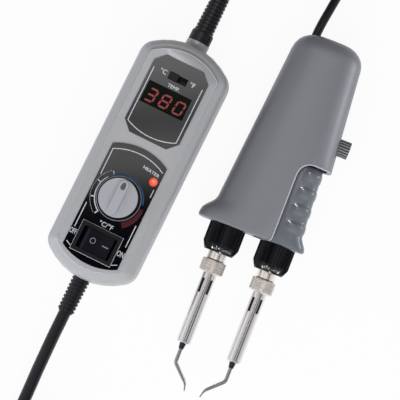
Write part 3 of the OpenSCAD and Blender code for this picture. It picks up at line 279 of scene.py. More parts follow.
sleeve_steel = finish("sleeve_steel", (226, 222, 221), 0.17, metal=1.0, spread=0.05, source=brush_group,
                      settings=ALONG_Y, bump=0.005)
nickel_warm = finish("nickel_warm", (240, 232, 224), 0.26, metal=1.0, spread=0.08, source=brush_group,
                     settings=ROUND, bump=0.01)
tip_steel = finish("tip_steel", (160, 158, 160), 0.25, metal=1.0, spread=0.04, settings={"Scale": 900.0},
                   bump=0.01)
ferrule_dark = finish("ferrule_dark", (62, 70, 84), 0.36, metal=0.7, spread=0.25, settings={"Scale": 1500.0},
                      tint=(38, 36, 40))
screw_steel = finish("screw_steel", (150, 150, 154), 0.32, metal=1.0, source=brush_group)
knob_green_grey = finish("knob_green_grey", (66, 70, 70), 0.38, spread=0.12, bump=0.08, shine=0.3)
board_green = finish("board_green", (38, 92, 56), 0.35, spread=0.2)
chip_black = finish("chip_black", (32, 32, 33), 0.5, spread=0.2, bump=0.2)
brass_dull = finish("brass_dull", (190, 160, 104), 0.32, metal=1.0, spread=0.1, source=brush_group,
                    settings=ROUND)
heater_and_slot_shade_dark = finish("heater_and_slot_shade_dark", (34, 32, 31), 0.6, spread=0.04, bump=0.1)
pin_plated = finish("pin_plated", (206, 204, 196), 0.24, metal=1.0, source=brush_group)
tie_black = finish("tie_black", (30, 30, 33), 0.62, spread=0.2, bump=0.4)
white_print_and_highlight = finish("white_print_and_highlight", (200, 203, 208), 0.45, spread=0.05, bump=0)
print_dim = finish("print_dim", (128, 132, 142), 0.4, spread=0.1, bump=0)
print_blue = finish("print_blue", (22, 72, 118), 0.45, spread=0.2, bump=0, settings={"Scale": 250.0},
                    shine=0.2)
print_red = finish("print_red", (66, 17, 21), 0.45, spread=0.3, bump=0, settings={"Scale": 600.0}, shine=0.2)
pointer_dark = finish("pointer_dark", (70, 71, 76), 0.4, spread=0.1, bump=0)
print("finishes:", len(bpy.data.materials))

# %% [markdown]
# The display digits and the heater lamp give light of their own. A lamp object behind them could do it,
# but an emission keeps the glow on the piece.

# %% Glowing finishes


def glow(name, rgb, strength, base):
    material = finish(name, base, 0.25, bump=0)
    shader = material.node_tree.nodes["Principled BSDF"]
    set_inputs(shader, {"Emission Color": linear(rgb), "Emission Strength": strength})
    return material


digit_red = glow("digit_red", (200, 24, 38), 0.3, (60, 6, 10))
lamp_orange = glow("lamp_orange", (255, 110, 50), 0.58, (180, 62, 56))
print("glowing finishes:", digit_red.name, lamp_orange.name)

# %% [markdown]
# Two colours run with a distance. The lamp is hottest in its middle and goes from orange to red. The
# spread knob gets a painted highlight on its flute crests and painted shade in its grooves, so its colour
# follows the distance from its axis. Paint on the points would need a finer mesh, and a colour ramp needs
# none.

# %% Colours that run with a distance


def colour_by_distance(material, distance, near, far, tones, target):
    """Lays a ramp of tones, each a place on the ramp and an sRGB colour, between two distances."""
    tree = material.node_tree
    fade = tree.nodes.new("ShaderNodeMapRange")
    set_inputs(fade, {"From Min": near, "From Max": far})
    ramp = tree.nodes.new("ShaderNodeValToRGB")
    stops = ramp.color_ramp.elements
    while len(stops) < len(tones):
        stops.new(1.0)
    for stop, (at, rgb) in zip(stops, tones):
        stop.position = at
        stop.color = linear(rgb)
    wire(tree,
         (distance, fade.inputs["Value"]),
         (fade.outputs["Result"], ramp.inputs["Fac"]),
         (ramp.outputs["Color"], tree.nodes["Principled BSDF"].inputs[target]))


LAMP_TONES = ((0.0, (255, 182, 78)), (1.0, (236, 62, 66)))
LAMP_AT = place(CONTROLLER, 11.5, -5.9, PANEL_Z)
LAMP_SHIFT, LAMP_RISE, LAMP_FADE = 0.5 * MM, 1.6 * MM, 2.3 * MM
hot_spot = LAMP_AT + (VIEW_RIGHT + VIEW_UP) * LAMP_SHIFT + UPWARD * LAMP_RISE
tree = lamp_orange.node_tree
coords = tree.nodes.new("ShaderNodeTexCoord")
from_spot = vector_node(tree, "DISTANCE", coords.outputs["Object"], hot_spot)
colour_by_distance(lamp_orange, from_spot, 0.0, LAMP_FADE, LAMP_TONES, "Emission Color")

# Painted highlight on the crests of the knob's flutes and painted shade in their grooves.
FLUTE_PAINTED_LIGHT = ((0.0, (72, 76, 76)), (0.5, (66, 70, 70)), (0.62, (26, 28, 28)), (0.72, (58, 61, 62)),
               (0.95, (150, 154, 157)))
FLUTE_FROM = 3.5 * MM
knob_low, knob_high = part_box("spread_knob")
knob_middle = (knob_low + knob_high) / 2
knob_radius = (knob_high.z - knob_low.z) / 2
tree = knob_green_grey.node_tree
coords = tree.nodes.new("ShaderNodeTexCoord")
off_axis = vector_node(tree, "MULTIPLY", coords.outputs["Object"], (0, 1, 1))
from_axis = vector_node(tree, "DISTANCE", off_axis, (0, knob_middle.y, knob_middle.z))
colour_by_distance(knob_green_grey, from_axis, FLUTE_FROM, knob_radius, FLUTE_PAINTED_LIGHT, "Base Color")
print("spread knob radius", round(knob_radius / MM, 2), "mm")

# %% [markdown]
# ## The cords
# Each cord is one open curve with a round bevel. A swept mesh would look the same, but a curve keeps its
# route and can be laid again. It follows the points that the solids follow, softened into one smooth line,
# and the length that the photograph doesn't show is wound into a flat coil of two layers.

# %% Cord routes


def smooth_route(points, steps):
    """Points on a smooth line through the given ones, with some steps between each pair."""
    p = [Vector(q) for q in points]
    p = [2 * p[0] - p[1]] + p + [2 * p[-1] - p[-2]]
    line = []
    for a, b, c, d in zip(p, p[1:], p[2:], p[3:]):
        for i in range(steps):
            t = i / steps
            line.append(0.5 * (2 * b + (c - a) * t + (2 * a - 5 * b + 4 * c - d) * t * t
                               + (3 * b - a - 3 * c + d) * t ** 3))
    return line + [p[-2]]


def on_circle(r, degrees):
    """The two coordinates of a point on a circle round the origin."""
    return r * math.cos(math.radians(degrees)), r * math.sin(math.radians(degrees))


COIL_TURNS = 3
COIL_STEPS = 36


def coil_route(centre, start, turn, wide, narrow, low, high, climb):
    """A flat coil that winds inwards on the bench, climbs, and winds outwards on top."""
    line = []
    for i in range(1, int((2 * COIL_TURNS + climb) * COIL_STEPS)):
        t = i / COIL_STEPS
        if t < COIL_TURNS:
            radius, z = wide + (narrow - wide) * t / COIL_TURNS, low
        elif t < COIL_TURNS + climb:
            s = (t - COIL_TURNS) / climb
            radius, z = narrow, low + (high - low) * s * s * (3 - 2 * s)
        else:
            radius, z = narrow + (wide - narrow) * (t - COIL_TURNS - climb) / COIL_TURNS, high
        x, y = on_circle(radius, start + turn * 360 * t)
        line.append(Vector((centre[0] + x, centre[1] + y, z)))
    return line


mains_lead = [
    (-38.2, -54, 14), (-39.4, -67.5, 14), (-40.5, -81, 14), (-41.4, -91, 13.2), (-42.2, -101, 11),
    (-43, -111, 8), (-43.6, -121, 5.2), (-44.5, -132, 3.5), (-47.4, -141.5, 3.2), (-53, -150.5, 3.2),
    (-58.5, -159.5, 3.2), (-61.4, -168.5, 3.2), (-62.1, -176, 3.2)]
mains_tail = [(-18, -220.1, 9.4), (-10, -220.1, 8.9), (-1, -220.1, 7.5), (7, -220.1, 7)]
tool_lead = [
    (-28, 62.6, 14), (-26.2, 83, 14), (-24.2, 105.6, 14), (-23.9, 113, 13.4), (-24.6, 120, 11.5),
    (-26, 127, 8.5), (-28, 134, 5.4), (-29.8, 141, 3.1), (-30.6, 147, 2.4), (-30.75, 152, 2.4)]
tool_tail = [
    (32.75, 152, 6.9), (32.5, 144, 7), (31.7, 135, 7.8), (30.4, 126, 9.5), (28.9, 117, 11.5),
    (27.5, 108, 13.1), (26.3, 100, 13.9), (25.7, 92, 14), (25.7, 77, 14)]
MAINS_COIL, TOOL_COIL = (-18, -176), (1, 152)
LEAD_STEPS = 3
mains_coil = coil_route(MAINS_COIL, start=180, turn=1, wide=44.1, narrow=25.2, low=3.2, high=9.4, climb=0.25)
tool_coil = coil_route(TOOL_COIL, start=180, turn=-1, wide=31.75, narrow=18.25, low=2.4, high=6.9, climb=0.5)
mains_route = smooth_route(mains_lead, LEAD_STEPS) + mains_coil + smooth_route(mains_tail, LEAD_STEPS)
tool_route = smooth_route(tool_lead, LEAD_STEPS) + tool_coil + smooth_route(tool_tail, LEAD_STEPS)


def route_length(route):
    return sum((b - a).length for a, b in zip(route, route[1:])) * MM


print("mains cord", round(route_length(mains_route), 3), "m")
print("tool cord", round(route_length(tool_route), 3), "m")

# %% Cords


def cord_curve(name, route, diameter):
    data = bpy.data.curves.new(name, "CURVE")
    data.dimensions = "3D"
    data.bevel_depth = diameter * MM / 2
    data.bevel_resolution = 4
    data.use_fill_caps = True
    data.materials.append(cord_black)
    spline = data.splines.new("POLY")
    spline.points.add(len(route) - 1)
    for point, at in zip(spline.points, route):
        point.co = (*(at * MM), 1)
    spline.use_smooth = True
    obj = bpy.data.objects.new(name, data)
    scene.collection.objects.link(obj)
    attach(obj, "housings")
    return obj


MAINS_D = 6.2
TOOL_D = 4.5
mains_cord = cord_curve("mains_cord", mains_route, MAINS_D)
tool_cord = cord_curve("tool_cord", tool_route, TOOL_D)
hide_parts("mains_cord_lead", "mains_cord_coil", "mains_cord_tail")
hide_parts("tool_cord_lead", "tool_cord_coil", "tool_cord_tail")
print("cords:", mains_cord.name, tool_cord.name)

# %% [markdown]
# A strap holds each coil together. It is a closed band with rounded corners round the turns. A bevelled
# curve would come out round, so the band is a skin over small flat rings.

# %% Mesh helpers


def paint(mesh, material):
    mesh.materials.clear()
    mesh.materials.append(material)


def link(name, mesh, body, material):
    obj = bpy.data.objects.new(name, mesh)
    paint(mesh, material)
    scene.collection.objects.link(obj)
    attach(obj, body)
    return obj


def mesh_from(name, points, faces, smooth=None):
    mesh = bpy.data.meshes.new(name)
    mesh.from_pydata([tuple(p) for p in points], [], faces)
    bm = bmesh.new()
    bm.from_mesh(mesh)
    bmesh.ops.recalc_face_normals(bm, faces=bm.faces)
    bm.to_mesh(mesh)
    bm.free()
    if smooth:
        mesh.shade_smooth()
        mesh.set_sharp_from_angle(angle=math.radians(smooth))
    return mesh


def loft(rings, closed):
    """Points and faces of a skin over equal rings, with its ends capped unless it closes on itself."""
    n = len(rings[0])
    points = [p for ring in rings for p in ring]
    faces = []
    for j in range(len(rings) if closed else len(rings) - 1):
        this, following = j * n, (j + 1) % len(rings) * n
        faces += [(this + i, this + (i + 1) % n, following + (i + 1) % n, following + i) for i in range(n)]
    if not closed:
        faces += [tuple(range(n)), tuple(range(len(points) - n, len(points)))]
    return points, faces


def skin(name, rings, body, material, slot, smooth, closed=False):
    """A piece whose surface runs over a row of rings."""
    return link(name, mesh_from(name, *loft(rings, closed), smooth), body, material)


print("mesh helpers:", mesh_from.__name__, loft.__name__, skin.__name__)

# %% Ties
TIE_THICK, TIE_ROUND, TIE_LOW = 0.7, 3.0, 0.15
TIE_STEP = 15
ON_BENCH = -0.2


def band(name, centre, degrees, inner, outer, height, width):
    """A flat strap round the turns of a coil, at one place of its ring. It lies thin on the bench."""
    x, y = on_circle(1, degrees)
    across, along = Vector((x, y, 0)), Vector((-y, x, 0))
    rings = []
    corners = [(inner, TIE_LOW, 180), (outer, TIE_LOW, 270), (outer, height, 0), (inner, height, 90)]
    for r, z, first in corners:
        cr = r + (TIE_ROUND if r == inner else -TIE_ROUND)
        cz = z + (TIE_ROUND if z == TIE_LOW else -TIE_ROUND)
        for a in range(first, first + 91, TIE_STEP):
            c, s = on_circle(1, a)
            ring = []
            for side, extra in ((-1, 0), (-1, TIE_THICK), (1, TIE_THICK), (1, 0)):
                reach = TIE_ROUND + (extra if s > ON_BENCH else 0)
                at = across * (cr + reach * c) + along * (side * width / 2) + UPWARD * (cz + reach * s)
                ring.append((at + Vector((*centre, 0))) * MM)
            rings.append(ring)
    return skin(name, rings, "housings", tie_black, "relief", 40, closed=True)


mains_tie = band("mains_cord_tie", MAINS_COIL, 35, inner=21.8, outer=47.4, height=12.7, width=9)
tool_tie = band("tool_cord_tie", TOOL_COIL, 90, inner=15.8, outer=34.2, height=9.3, width=7)
print("ties:", mains_tie.name, tool_tie.name)

# %% [markdown]
# ## Finishes on the solids
# Solids that were made from flat facets would show them in a glossy finish. A copy of such a node with
# its doubled points merged can carry smooth normals, so the copy stands for the node and keeps its shape.

# %% Smooth copies of the faceted solids
MERGE_DISTANCE = 1e-6
FLAT_ANGLE = math.radians(0.3)


def smooth_copy(node, material, slot, angle):
    mesh = nodes[node].data.copy()
    bm = bmesh.new()
    bm.from_mesh(mesh)
    bmesh.ops.remove_doubles(bm, verts=bm.verts, dist=MERGE_DISTANCE)
    bmesh.ops.dissolve_limit(bm, angle_limit=FLAT_ANGLE, verts=bm.verts, edges=bm.edges)
    bm.to_mesh(mesh)
    bm.free()
    mesh.shade_smooth()
    mesh.set_sharp_from_angle(angle=math.radians(angle))
    obj = link(node + "_skin", mesh, nodes[node]["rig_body"], material)
    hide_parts(node)
    return obj


SMOOTHED = [
    ("case_top", case_grey, "case", 34), ("case_bottom", case_grey, "case", 34),
    ("handle_top", housing_grey, "housing", 34), ("handle_bottom", housing_grey, "housing", 34),
    ("squeeze_lever", lever_grey, "lever", 34), ("fixed_tip", tip_steel, "steel", 50),
    ("moving_tip", tip_steel, "steel", 50)]
skins = {row[0]: smooth_copy(*row) for row in SMOOTHED}
print("smooth copies:", len(skins))

# %% Materials of the other nodes
FINISHES = {
    "case_screws": screw_steel, "display_label": label_black, "control_label": panel_black,
    "display_module": chip_black, "display_window": window_dark_green_sheen, "unit_switch_body": chip_black,
    "unit_switch_slider": frame_black, "temperature_knob": frame_black, "knob_cap": cap_silver,
    "pot_body": screw_steel, "pot_shaft": brass_dull, "heater_lamp": lamp_orange, "switch_frame": frame_black,
    "switch_rocker": rocker_black, "circuit_board": board_green, "board_screws": screw_steel,
    "triac": chip_black, "control_chip": chip_black, "mains_strain_relief": relief_rubber,
    "tool_strain_relief": relief_rubber, "mains_plug": plug_black, "plug_pins": pin_plated,
    "handle_screws": screw_steel, "cord_clamp": chip_black, "clamp_screws": screw_steel,
    "lever_pin": screw_steel, "spread_knob": knob_green_grey,
    "spread_spindle": screw_steel, "spread_cam": brass_dull}
ARM_FINISHES = {
    "socket": chip_black, "neck": nickel_warm, "nut": nickel_warm,
    "sleeve": sleeve_steel, "heater": heater_and_slot_shade_dark, "ferrule": ferrule_dark}
for side in ("fixed", "moving"):
    FINISHES.update({f"{side}_{part}": material for part, material in ARM_FINISHES.items()})
for cord in ("mains_cord", "tool_cord"):
    FINISHES.update({f"{cord}_{stretch}": cord_black for stretch in ("lead", "coil", "tail")})
FINISHES.update({node: material for node, material, *_ in SMOOTHED})
for node, material in FINISHES.items():
    paint(nodes[node].data, material)
print("finished nodes:", len(FINISHES))

# %% [markdown]
# The return spring shortens when the lever is squeezed; here it is a plain copy of its solid, with a mesh of
# its own.

# %% Return spring
spring = link("return_spring_coil", nodes["return_spring"].data.copy(), "housings", tip_steel)
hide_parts("return_spring")
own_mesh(spring)
print("spring:", len(spring.data.polygons), "faces")

# %% [markdown]
# ## The printed panels
# Screen print is a thin film of ink. A picture on the label could show it, but its lines would blur close
# by. So each line is a flat strip a few hundredths of a millimetre above the label, drawn along a row of
# points in the controller's own frame.

# %% Printed lines
INK = 0.04
PRINT_Z = PANEL_Z + INK
SHARPEST_CORNER = 0.5


def strip(points, width, closed=False):
    """A flat strip of one width along a row of points."""
    p = [Vector(q) for q in points]
    n = len(p)
    left, right = [], []
    for i in range(n):
        before = p[(i - 1) % n] if closed or i else p[i]
        after = p[(i + 1) % n] if closed or i < n - 1 else p[i]
        a = (p[i] - before).normalized() if (p[i] - before).length else (after - p[i]).normalized()
        b = (after - p[i]).normalized() if (after - p[i]).length else a
        across = Vector((-(a + b).y, (a + b).x)).normalized()
        reach = width / 2 / max(SHARPEST_CORNER, across.dot(Vector((-a.y, a.x))))
        left.append(place(CONTROLLER, *(p[i] + across * reach), PRINT_Z))
        right.append(place(CONTROLLER, *(p[i] - across * reach), PRINT_Z))
    m = n if closed else n - 1
    faces = [(i, (i + 1) % n, n + (i + 1) % n, n + i) for i in range(m)]
    return left + right, faces


def join(parts):
    points, faces = [], []
    for more_points, more_faces in parts:
        faces += [tuple(i + len(points) for i in face) for face in more_faces]
        points += more_points
    return points, faces


def arc(cx, cy, r, start, end, steps=24):
    offsets = [on_circle(r, start + (end - start) * i / steps) for i in range(steps + 1)]
    return [(cx + x, cy + y) for x, y in offsets]


def printed(name, parts, material, body="housings"):
    mesh = mesh_from(name, *join(parts))
    up = sum((f.normal.z for f in mesh.polygons), 0)
    if up < 0:
        mesh.flip_normals()
    return link(name, mesh, body, material)


LINE, FRAME_HIGHLIGHT_WIDTH = 0.42, 0.22
KNOB_Y = -20.4
display_border = [(-13.1, 44.8), (-13.1, 16.0)] + arc(0, 43.5, 30.6, 247, 293) + [(13.0, 16.0), (13.0, 44.8)]
control_corner = [(-13.2, -13.6), (-13.2, -1.2)] + arc(0, -25.0, 28.4, 118, 61)
left_bar = [(-13.2, -41.8), (-13.2, -28.8)]
lamp_bar = [(13.4, -13.4), (13.4, -9.2)]
right_bar = [(13.4, -40.2), (13.4, -28.6)]
left_foot = arc(0, -25.6, 27.6, 240.5, 247.5, 6)
right_foot = arc(0, -25.6, 27.6, 292.5, 299.5, 6)
# Painted highlight: the thin white strip round the switch frame stands for light on the frame's bevelled
# outer edge.
frame_edge_highlight = [(-10.75, -52.2), (-10.75, -36.8), (10.75, -36.8), (10.75, -52.2)]
panel_rows = (display_border, control_corner, left_bar, lamp_bar, right_bar, left_foot, right_foot)
print_and_highlight_strips = [strip(points, LINE) for points in panel_rows] + [strip(frame_edge_highlight, FRAME_HIGHLIGHT_WIDTH, closed=True)]
panel_print_and_highlight = printed("panel_print_and_highlight", print_and_highlight_strips, white_print_and_highlight)
print("panel lines:", len(panel_print_and_highlight.data.polygons), "faces")

# %% [markdown]
# The dial has a white scale on its left, a cool blue stretch at the top right and a hot red one below it.
# The ticks and the dots repeat on an arc, so Geometry Nodes place them: a row of points is bent to the
# arc, and one small block stands on each point, turned to face the centre.

# %% Trees of Geometry Nodes


def geometry_tree(name, inputs):
    tree = bpy.data.node_groups.new(name, "GeometryNodeTree")
    tree.interface.new_socket("Geometry", in_out="INPUT", socket_type="NodeSocketGeometry")
    keys = {}
    for label, kind in inputs:
        socket = tree.interface.new_socket(label, in_out="INPUT", socket_type="NodeSocket" + kind)
        keys[label] = socket.identifier
    tree.interface.new_socket("Geometry", in_out="OUTPUT", socket_type="NodeSocketGeometry")
    return tree, tree.nodes.new("NodeGroupInput"), tree.nodes.new("NodeGroupOutput"), keys


def finish_tree(tree, geometry, material_socket, output):
    real = tree.nodes.new("GeometryNodeRealizeInstances")
    coat = tree.nodes.new("GeometryNodeSetMaterial")
    wire(tree,
         (geometry, real.inputs[0]),
         (real.outputs[0], coat.inputs["Geometry"]),
         (material_socket, coat.inputs["Material"]),
         (coat.outputs[0], output.inputs[0]))


def grow(name, base, tree, keys, values, matrix, body, slot):
    """Runs a tree on a base mesh and keeps the result as a plain mesh in its place."""
    obj = bpy.data.objects.new(name, base)
    scene.collection.objects.link(obj)
    modifier = obj.modifiers.new("nodes", "NODES")
    modifier.node_group = tree
    for label, value in values.items():
        modifier[keys[label]] = value
    bpy.context.view_layer.update()
    mesh = bpy.data.meshes.new_from_object(obj.evaluated_get(bpy.context.evaluated_depsgraph_get()))
    obj.modifiers.remove(modifier)
    mesh.transform(matrix)
    obj.data = mesh
    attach(obj, body)
    return obj


print("a tree becomes a mesh by", grow.__name__)

# %% Marks on an arc
marks_tree, m_in, m_out, marks_keys = geometry_tree("marks on an arc", [
    ("Count", "Int"), ("Radius", "Float"), ("Start", "Float"), ("Sweep", "Float"), ("Size", "Vector"),
    ("Material", "Material")])
row = marks_tree.nodes.new("GeometryNodeMeshLine")
index = marks_tree.nodes.new("GeometryNodeInputIndex")
last = math_node(marks_tree, "SUBTRACT", m_in.outputs["Count"], 1)
share = math_node(marks_tree, "DIVIDE", index.outputs[0], last)
swept = math_node(marks_tree, "MULTIPLY", share, m_in.outputs["Sweep"])
angle = math_node(marks_tree, "ADD", m_in.outputs["Start"], swept)
spot = marks_tree.nodes.new("ShaderNodeCombineXYZ")
for socket, wave in zip(spot.inputs, ("COSINE", "SINE")):
    unit = math_node(marks_tree, wave, angle)
    wire(marks_tree, (math_node(marks_tree, "MULTIPLY", m_in.outputs["Radius"], unit), socket))
bend = marks_tree.nodes.new("GeometryNodeSetPosition")
block = marks_tree.nodes.new("GeometryNodeMeshCube")
turn = marks_tree.nodes.new("ShaderNodeCombineXYZ")
stand = marks_tree.nodes.new("GeometryNodeInstanceOnPoints")
wire(marks_tree,
     (m_in.outputs["Count"], row.inputs["Count"]),
     (row.outputs[0], bend.inputs["Geometry"]),
     (spot.outputs[0], bend.inputs["Position"]),
     (m_in.outputs["Size"], block.inputs["Size"]),
     (angle, turn.inputs[2]),
     (bend.outputs[0], stand.inputs["Points"]),
     (block.outputs[0], stand.inputs["Instance"]),
     (turn.outputs[0], stand.inputs["Rotation"]))
finish_tree(marks_tree, stand.outputs[0], m_in.outputs["Material"], m_out)

DIAL = CONTROLLER @ Matrix.Translation(Vector((0, KNOB_Y, PANEL_Z)) * MM)


def dial_marks(name, count, radius, start, sweep, size):
    return grow(name, bpy.data.meshes.new(name), marks_tree, marks_keys, {
        "Count": count, "Radius": radius * MM, "Start": math.radians(start), "Sweep": math.radians(sweep),
        "Size": [s * MM for s in size], "Material": white_print_and_highlight}, DIAL, "housings", "label")


dial_ticks = dial_marks("dial_ticks", count=4, radius=12.7, start=127, sweep=110, size=(2.0, 0.5, 0.06))
dial_dots = dial_marks("dial_dots", count=34, radius=14.0, start=131, sweep=102, size=(0.34, 0.24, 0.06))
print("dial marks:", len(dial_ticks.data.polygons) + len(dial_dots.data.polygons), "faces")

# %% [markdown]
# The arcs of the dial are strips too: the white scale, a thin dim ring round the whole knob and the blue
# stretch. The red stretch gets wider as it goes, so it is a wedge between two arcs.

# %% Dial arcs
dial_white = printed("dial_white", [strip(arc(0, KNOB_Y, 11.75, 142, 237, 40), 0.5)], white_print_and_highlight)
whole_turn = arc(0, KNOB_Y, 10.85, 0, 360, 72)[:-1]
dial_ring = printed("dial_ring", [strip(whole_turn, 0.32, closed=True)], print_dim)
dial_blue = printed("dial_blue", [strip(arc(0, KNOB_Y, 11.9, 127, 10, 48), 0.75)], print_blue)
WEDGE_STEPS = 24


def wedge(inside, outside_start, outside_end, start, end):
    outer = []
    for i in range(WEDGE_STEPS + 1):
        share = i / WEDGE_STEPS
        x, y = on_circle(outside_start + (outside_end - outside_start) * share, start + (end - start) * share)
        outer.append((x, KNOB_Y + y))
    inner = arc(0, KNOB_Y, inside, start, end, WEDGE_STEPS)
    points = [place(CONTROLLER, *q, PRINT_Z) for q in inner + outer]
    n = len(inner)
    return points, [(i, i + 1, n + i + 1, n + i) for i in range(WEDGE_STEPS)]


red_stretch = wedge(inside=11.6, outside_start=13.2, outside_end=14.6, start=0, end=-58)
dial_red = printed("dial_red", [red_stretch], print_red)
print("dial arcs:", dial_white.name, dial_ring.name, dial_blue.name, dial_red.name)

# %% [markdown]
# Lettering is kept to what any such panel says: the two units, the words ON and OFF, and plain legends.
# Blender's own font makes it, and each text becomes a mesh before it is moved to its place.

# %% Panel lettering
CAPITAL_SHARE = 0.70
STROKE_GROWTH = 0.04 * MM


def lettering(name, words, material):
    """One mesh of several words, each a text with its place, letter height, width and turn."""
    bm = bmesh.new()
    for text, x, y, height, narrow, turn_deg in words:
        data = bpy.data.curves.new(name, "FONT")
        data.body = text
        data.size = height * MM / CAPITAL_SHARE
        data.align_x = "CENTER"
        data.align_y = "CENTER"
        data.resolution_u = 3
        data.offset = STROKE_GROWTH
        holder = bpy.data.objects.new(name, data)
        scene.collection.objects.link(holder)
        bpy.context.view_layer.update()
        mesh = bpy.data.meshes.new_from_object(holder.evaluated_get(bpy.context.evaluated_depsgraph_get()))
        bpy.data.objects.remove(holder)
        mesh.transform(CONTROLLER @ Matrix.Translation(Vector((x, y, PRINT_Z)) * MM)
                       @ Matrix.Rotation(math.radians(turn_deg), 4, "Z") @ Matrix.Diagonal((narrow, 1, 1, 1)))
        bm.from_mesh(mesh)
        bpy.data.meshes.remove(mesh)
    mesh = bpy.data.meshes.new(name)
    bm.to_mesh(mesh)
    bm.free()
    return link(name, mesh, "housings", material)


panel_words = lettering("panel_words", [
    ("°C", -7.9, 44.5, 2.3, 1, 0), ("°F", 7.6, 44.5, 2.3, 1, 0), ("TEMP.", 0, 39.5, 1.7, 1, 0),
    ("HEATER", 8.3, -1.9, 1.55, 1.15, -8), ("°C/°F", 0.3, -34.9, 2.3, 1, 0),
    ("OFF", -12.85, -44.2, 2.7, 0.52, 0), ("ON", 12.8, -44.4, 2.7, 0.6, 0)], white_print_and_highlight)
print("lettering:", len(panel_words.data.polygons), "faces")

# %% [markdown]
# ## The display
# A digit is seven bars with pointed ends. A font could write the figures, but its strokes would not break
# where the bars meet. So a table says which bars glow for each figure, and the figures lean a little, as
# they do on such displays.

# %% Seven-segment digits
BARS = {"a": (0, 1, 0), "b": (0.5, 0.5, 90), "c": (0.5, -0.5, 90), "d": (0, -1, 0), "e": (-0.5, -0.5, 90),
        "f": (-0.5, 0.5, 90), "g": (0, 0, 0)}
FIGURES = {"3": "abcdg", "8": "abcdefg", "0": "abcdef"}
DIGITS_AT, DIGITS_Y = (("3", -8.1), ("8", -0.7), ("0", 6.8)), 31.6
DIGIT_W, DIGIT_H, BAR, BAR_GAP = 4.1, 6.2, 0.9, 0.16
SLANT = math.tan(math.radians(8))


def bar_points(kind, cx, cy):
    fx, fy, turned = BARS[kind]
    half = (DIGIT_H / 4 if turned else DIGIT_W / 2) - BAR_GAP
    b = BAR / 2
    outline = [(-half, 0), (-half + b, -b), (half - b, -b), (half, 0), (half - b, b), (-half + b, b)]
    points = []
    for u, v in outline:
        x, y = (v, u) if turned else (u, v)
        x, y = x + fx * DIGIT_W, y + fy * DIGIT_H / 2
        points.append(place(CONTROLLER, cx + x + y * SLANT, cy + y, PRINT_Z))
    return points, [tuple(range(len(points)))]


glowing = [bar_points(kind, x, DIGITS_Y) for figure, x in DIGITS_AT for kind in FIGURES[figure]]
digits = printed("display_digits", glowing, digit_red)
print("digits:", len(digits.data.polygons), "bars")

# %% [markdown]
# ## The knob's pointer and rolled edge
# The pointer is a drop of dark ink on the silver cap, and the rim of the cap is rolled over the black
# skirt. A bevel on the solid could not reach past it, so the rolled edge is a small profile swept round
# the knob. Both ride on the dial and turn with it.

# %% Pointer and edge of the knob cap
CAP_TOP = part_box("knob_cap")[1].z / MM
POINTER_R, POINTER_Y, POINTER_STRETCH = 1.25, 5.4, 2.1
drop = []
for a in range(0, 360, 15):
    down, across = on_circle(POINTER_R, a)
    y = KNOB_Y + POINTER_Y - down * (1 if down > 0 else POINTER_STRETCH)
    drop.append(place(CONTROLLER, across, y, CAP_TOP + INK))
pointer = printed("knob_pointer", [(drop, [tuple(range(len(drop)))])], pointer_dark, "dial")

SKIRT_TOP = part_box("temperature_knob")[1].z / MM
ROLLED_EDGE = ((8.6, 0.22), (9.25, 0.24), (9.5, 0.14), (9.6, -0.1), (9.58, -0.3), (9.46, -0.3), (9.3, 0.02),
               (8.6, 0.02))
edge_rings = []
for a in range(0, 360, 5):
    spots = [(*on_circle(r, a), z) for r, z in ROLLED_EDGE]
    edge_rings.append([place(CONTROLLER, x, KNOB_Y + y, SKIRT_TOP + z) for x, y, z in spots])
cap_edge = skin("knob_cap_edge", edge_rings, "dial", cap_silver, "silver_cap", 40, closed=True)
print("knob:", pointer.name, cap_edge.name)

# %% [markdown]
# ## The rocker's marks
# A circle says off and a dash says on. They lie on the two slopes of the rocker, so each point is lifted
# to the slope under it, and the marks tilt with the rocker.

# %% Marks on the rocker
ROCKER_TILT = math.radians(13)
ROCKER_FACE, ROCKER_Y, ROCKER_RISE = 4.1, -44.5, 1.0
ROCKER = (CONTROLLER @ Matrix.Translation(Vector((0, ROCKER_Y, PANEL_Z + ROCKER_RISE - ROCKER_FACE)) * MM)
          @ Matrix.Rotation(ROCKER_TILT, 4, "Y"))
OFF_AT, OFF_R, OFF_LINE = (-3.2, 0.3), 1.5, 0.36
DASH = ((2.1, -0.25), (5.1, -0.25), (5.1, 0.25), (2.1, 0.25))


def rocker_top(x, y):
    rise = ROCKER_FACE / math.cos(ROCKER_TILT) + abs(x) * math.tan(ROCKER_TILT)
    return ROCKER @ (Vector((x, y, rise + INK)) * MM)


ring = [rocker_top(*q) for r in (OFF_R, OFF_R - OFF_LINE) for q in arc(*OFF_AT, r, 0, 360)[:-1]]
n = len(ring) // 2
off_mark = (ring, [(i, (i + 1) % n, n + (i + 1) % n, n + i) for i in range(n)])
on_mark = ([rocker_top(*q) for q in DASH], [tuple(range(len(DASH)))])
rocker_marks = printed("rocker_marks", [off_mark, on_mark], print_dim, "power_rocker")
print("rocker marks:", len(rocker_marks.data.polygons), "faces")

# %% [markdown]
# ## Knurled nuts
# A knurl is a field of small pyramids. A bump would do from afar, but real teeth also break the outline.
# So Geometry Nodes grow them: rows of points are wrapped on a cylinder, every other row is shifted by
# half a step, and a four-sided cone stands on each point, facing outwards.

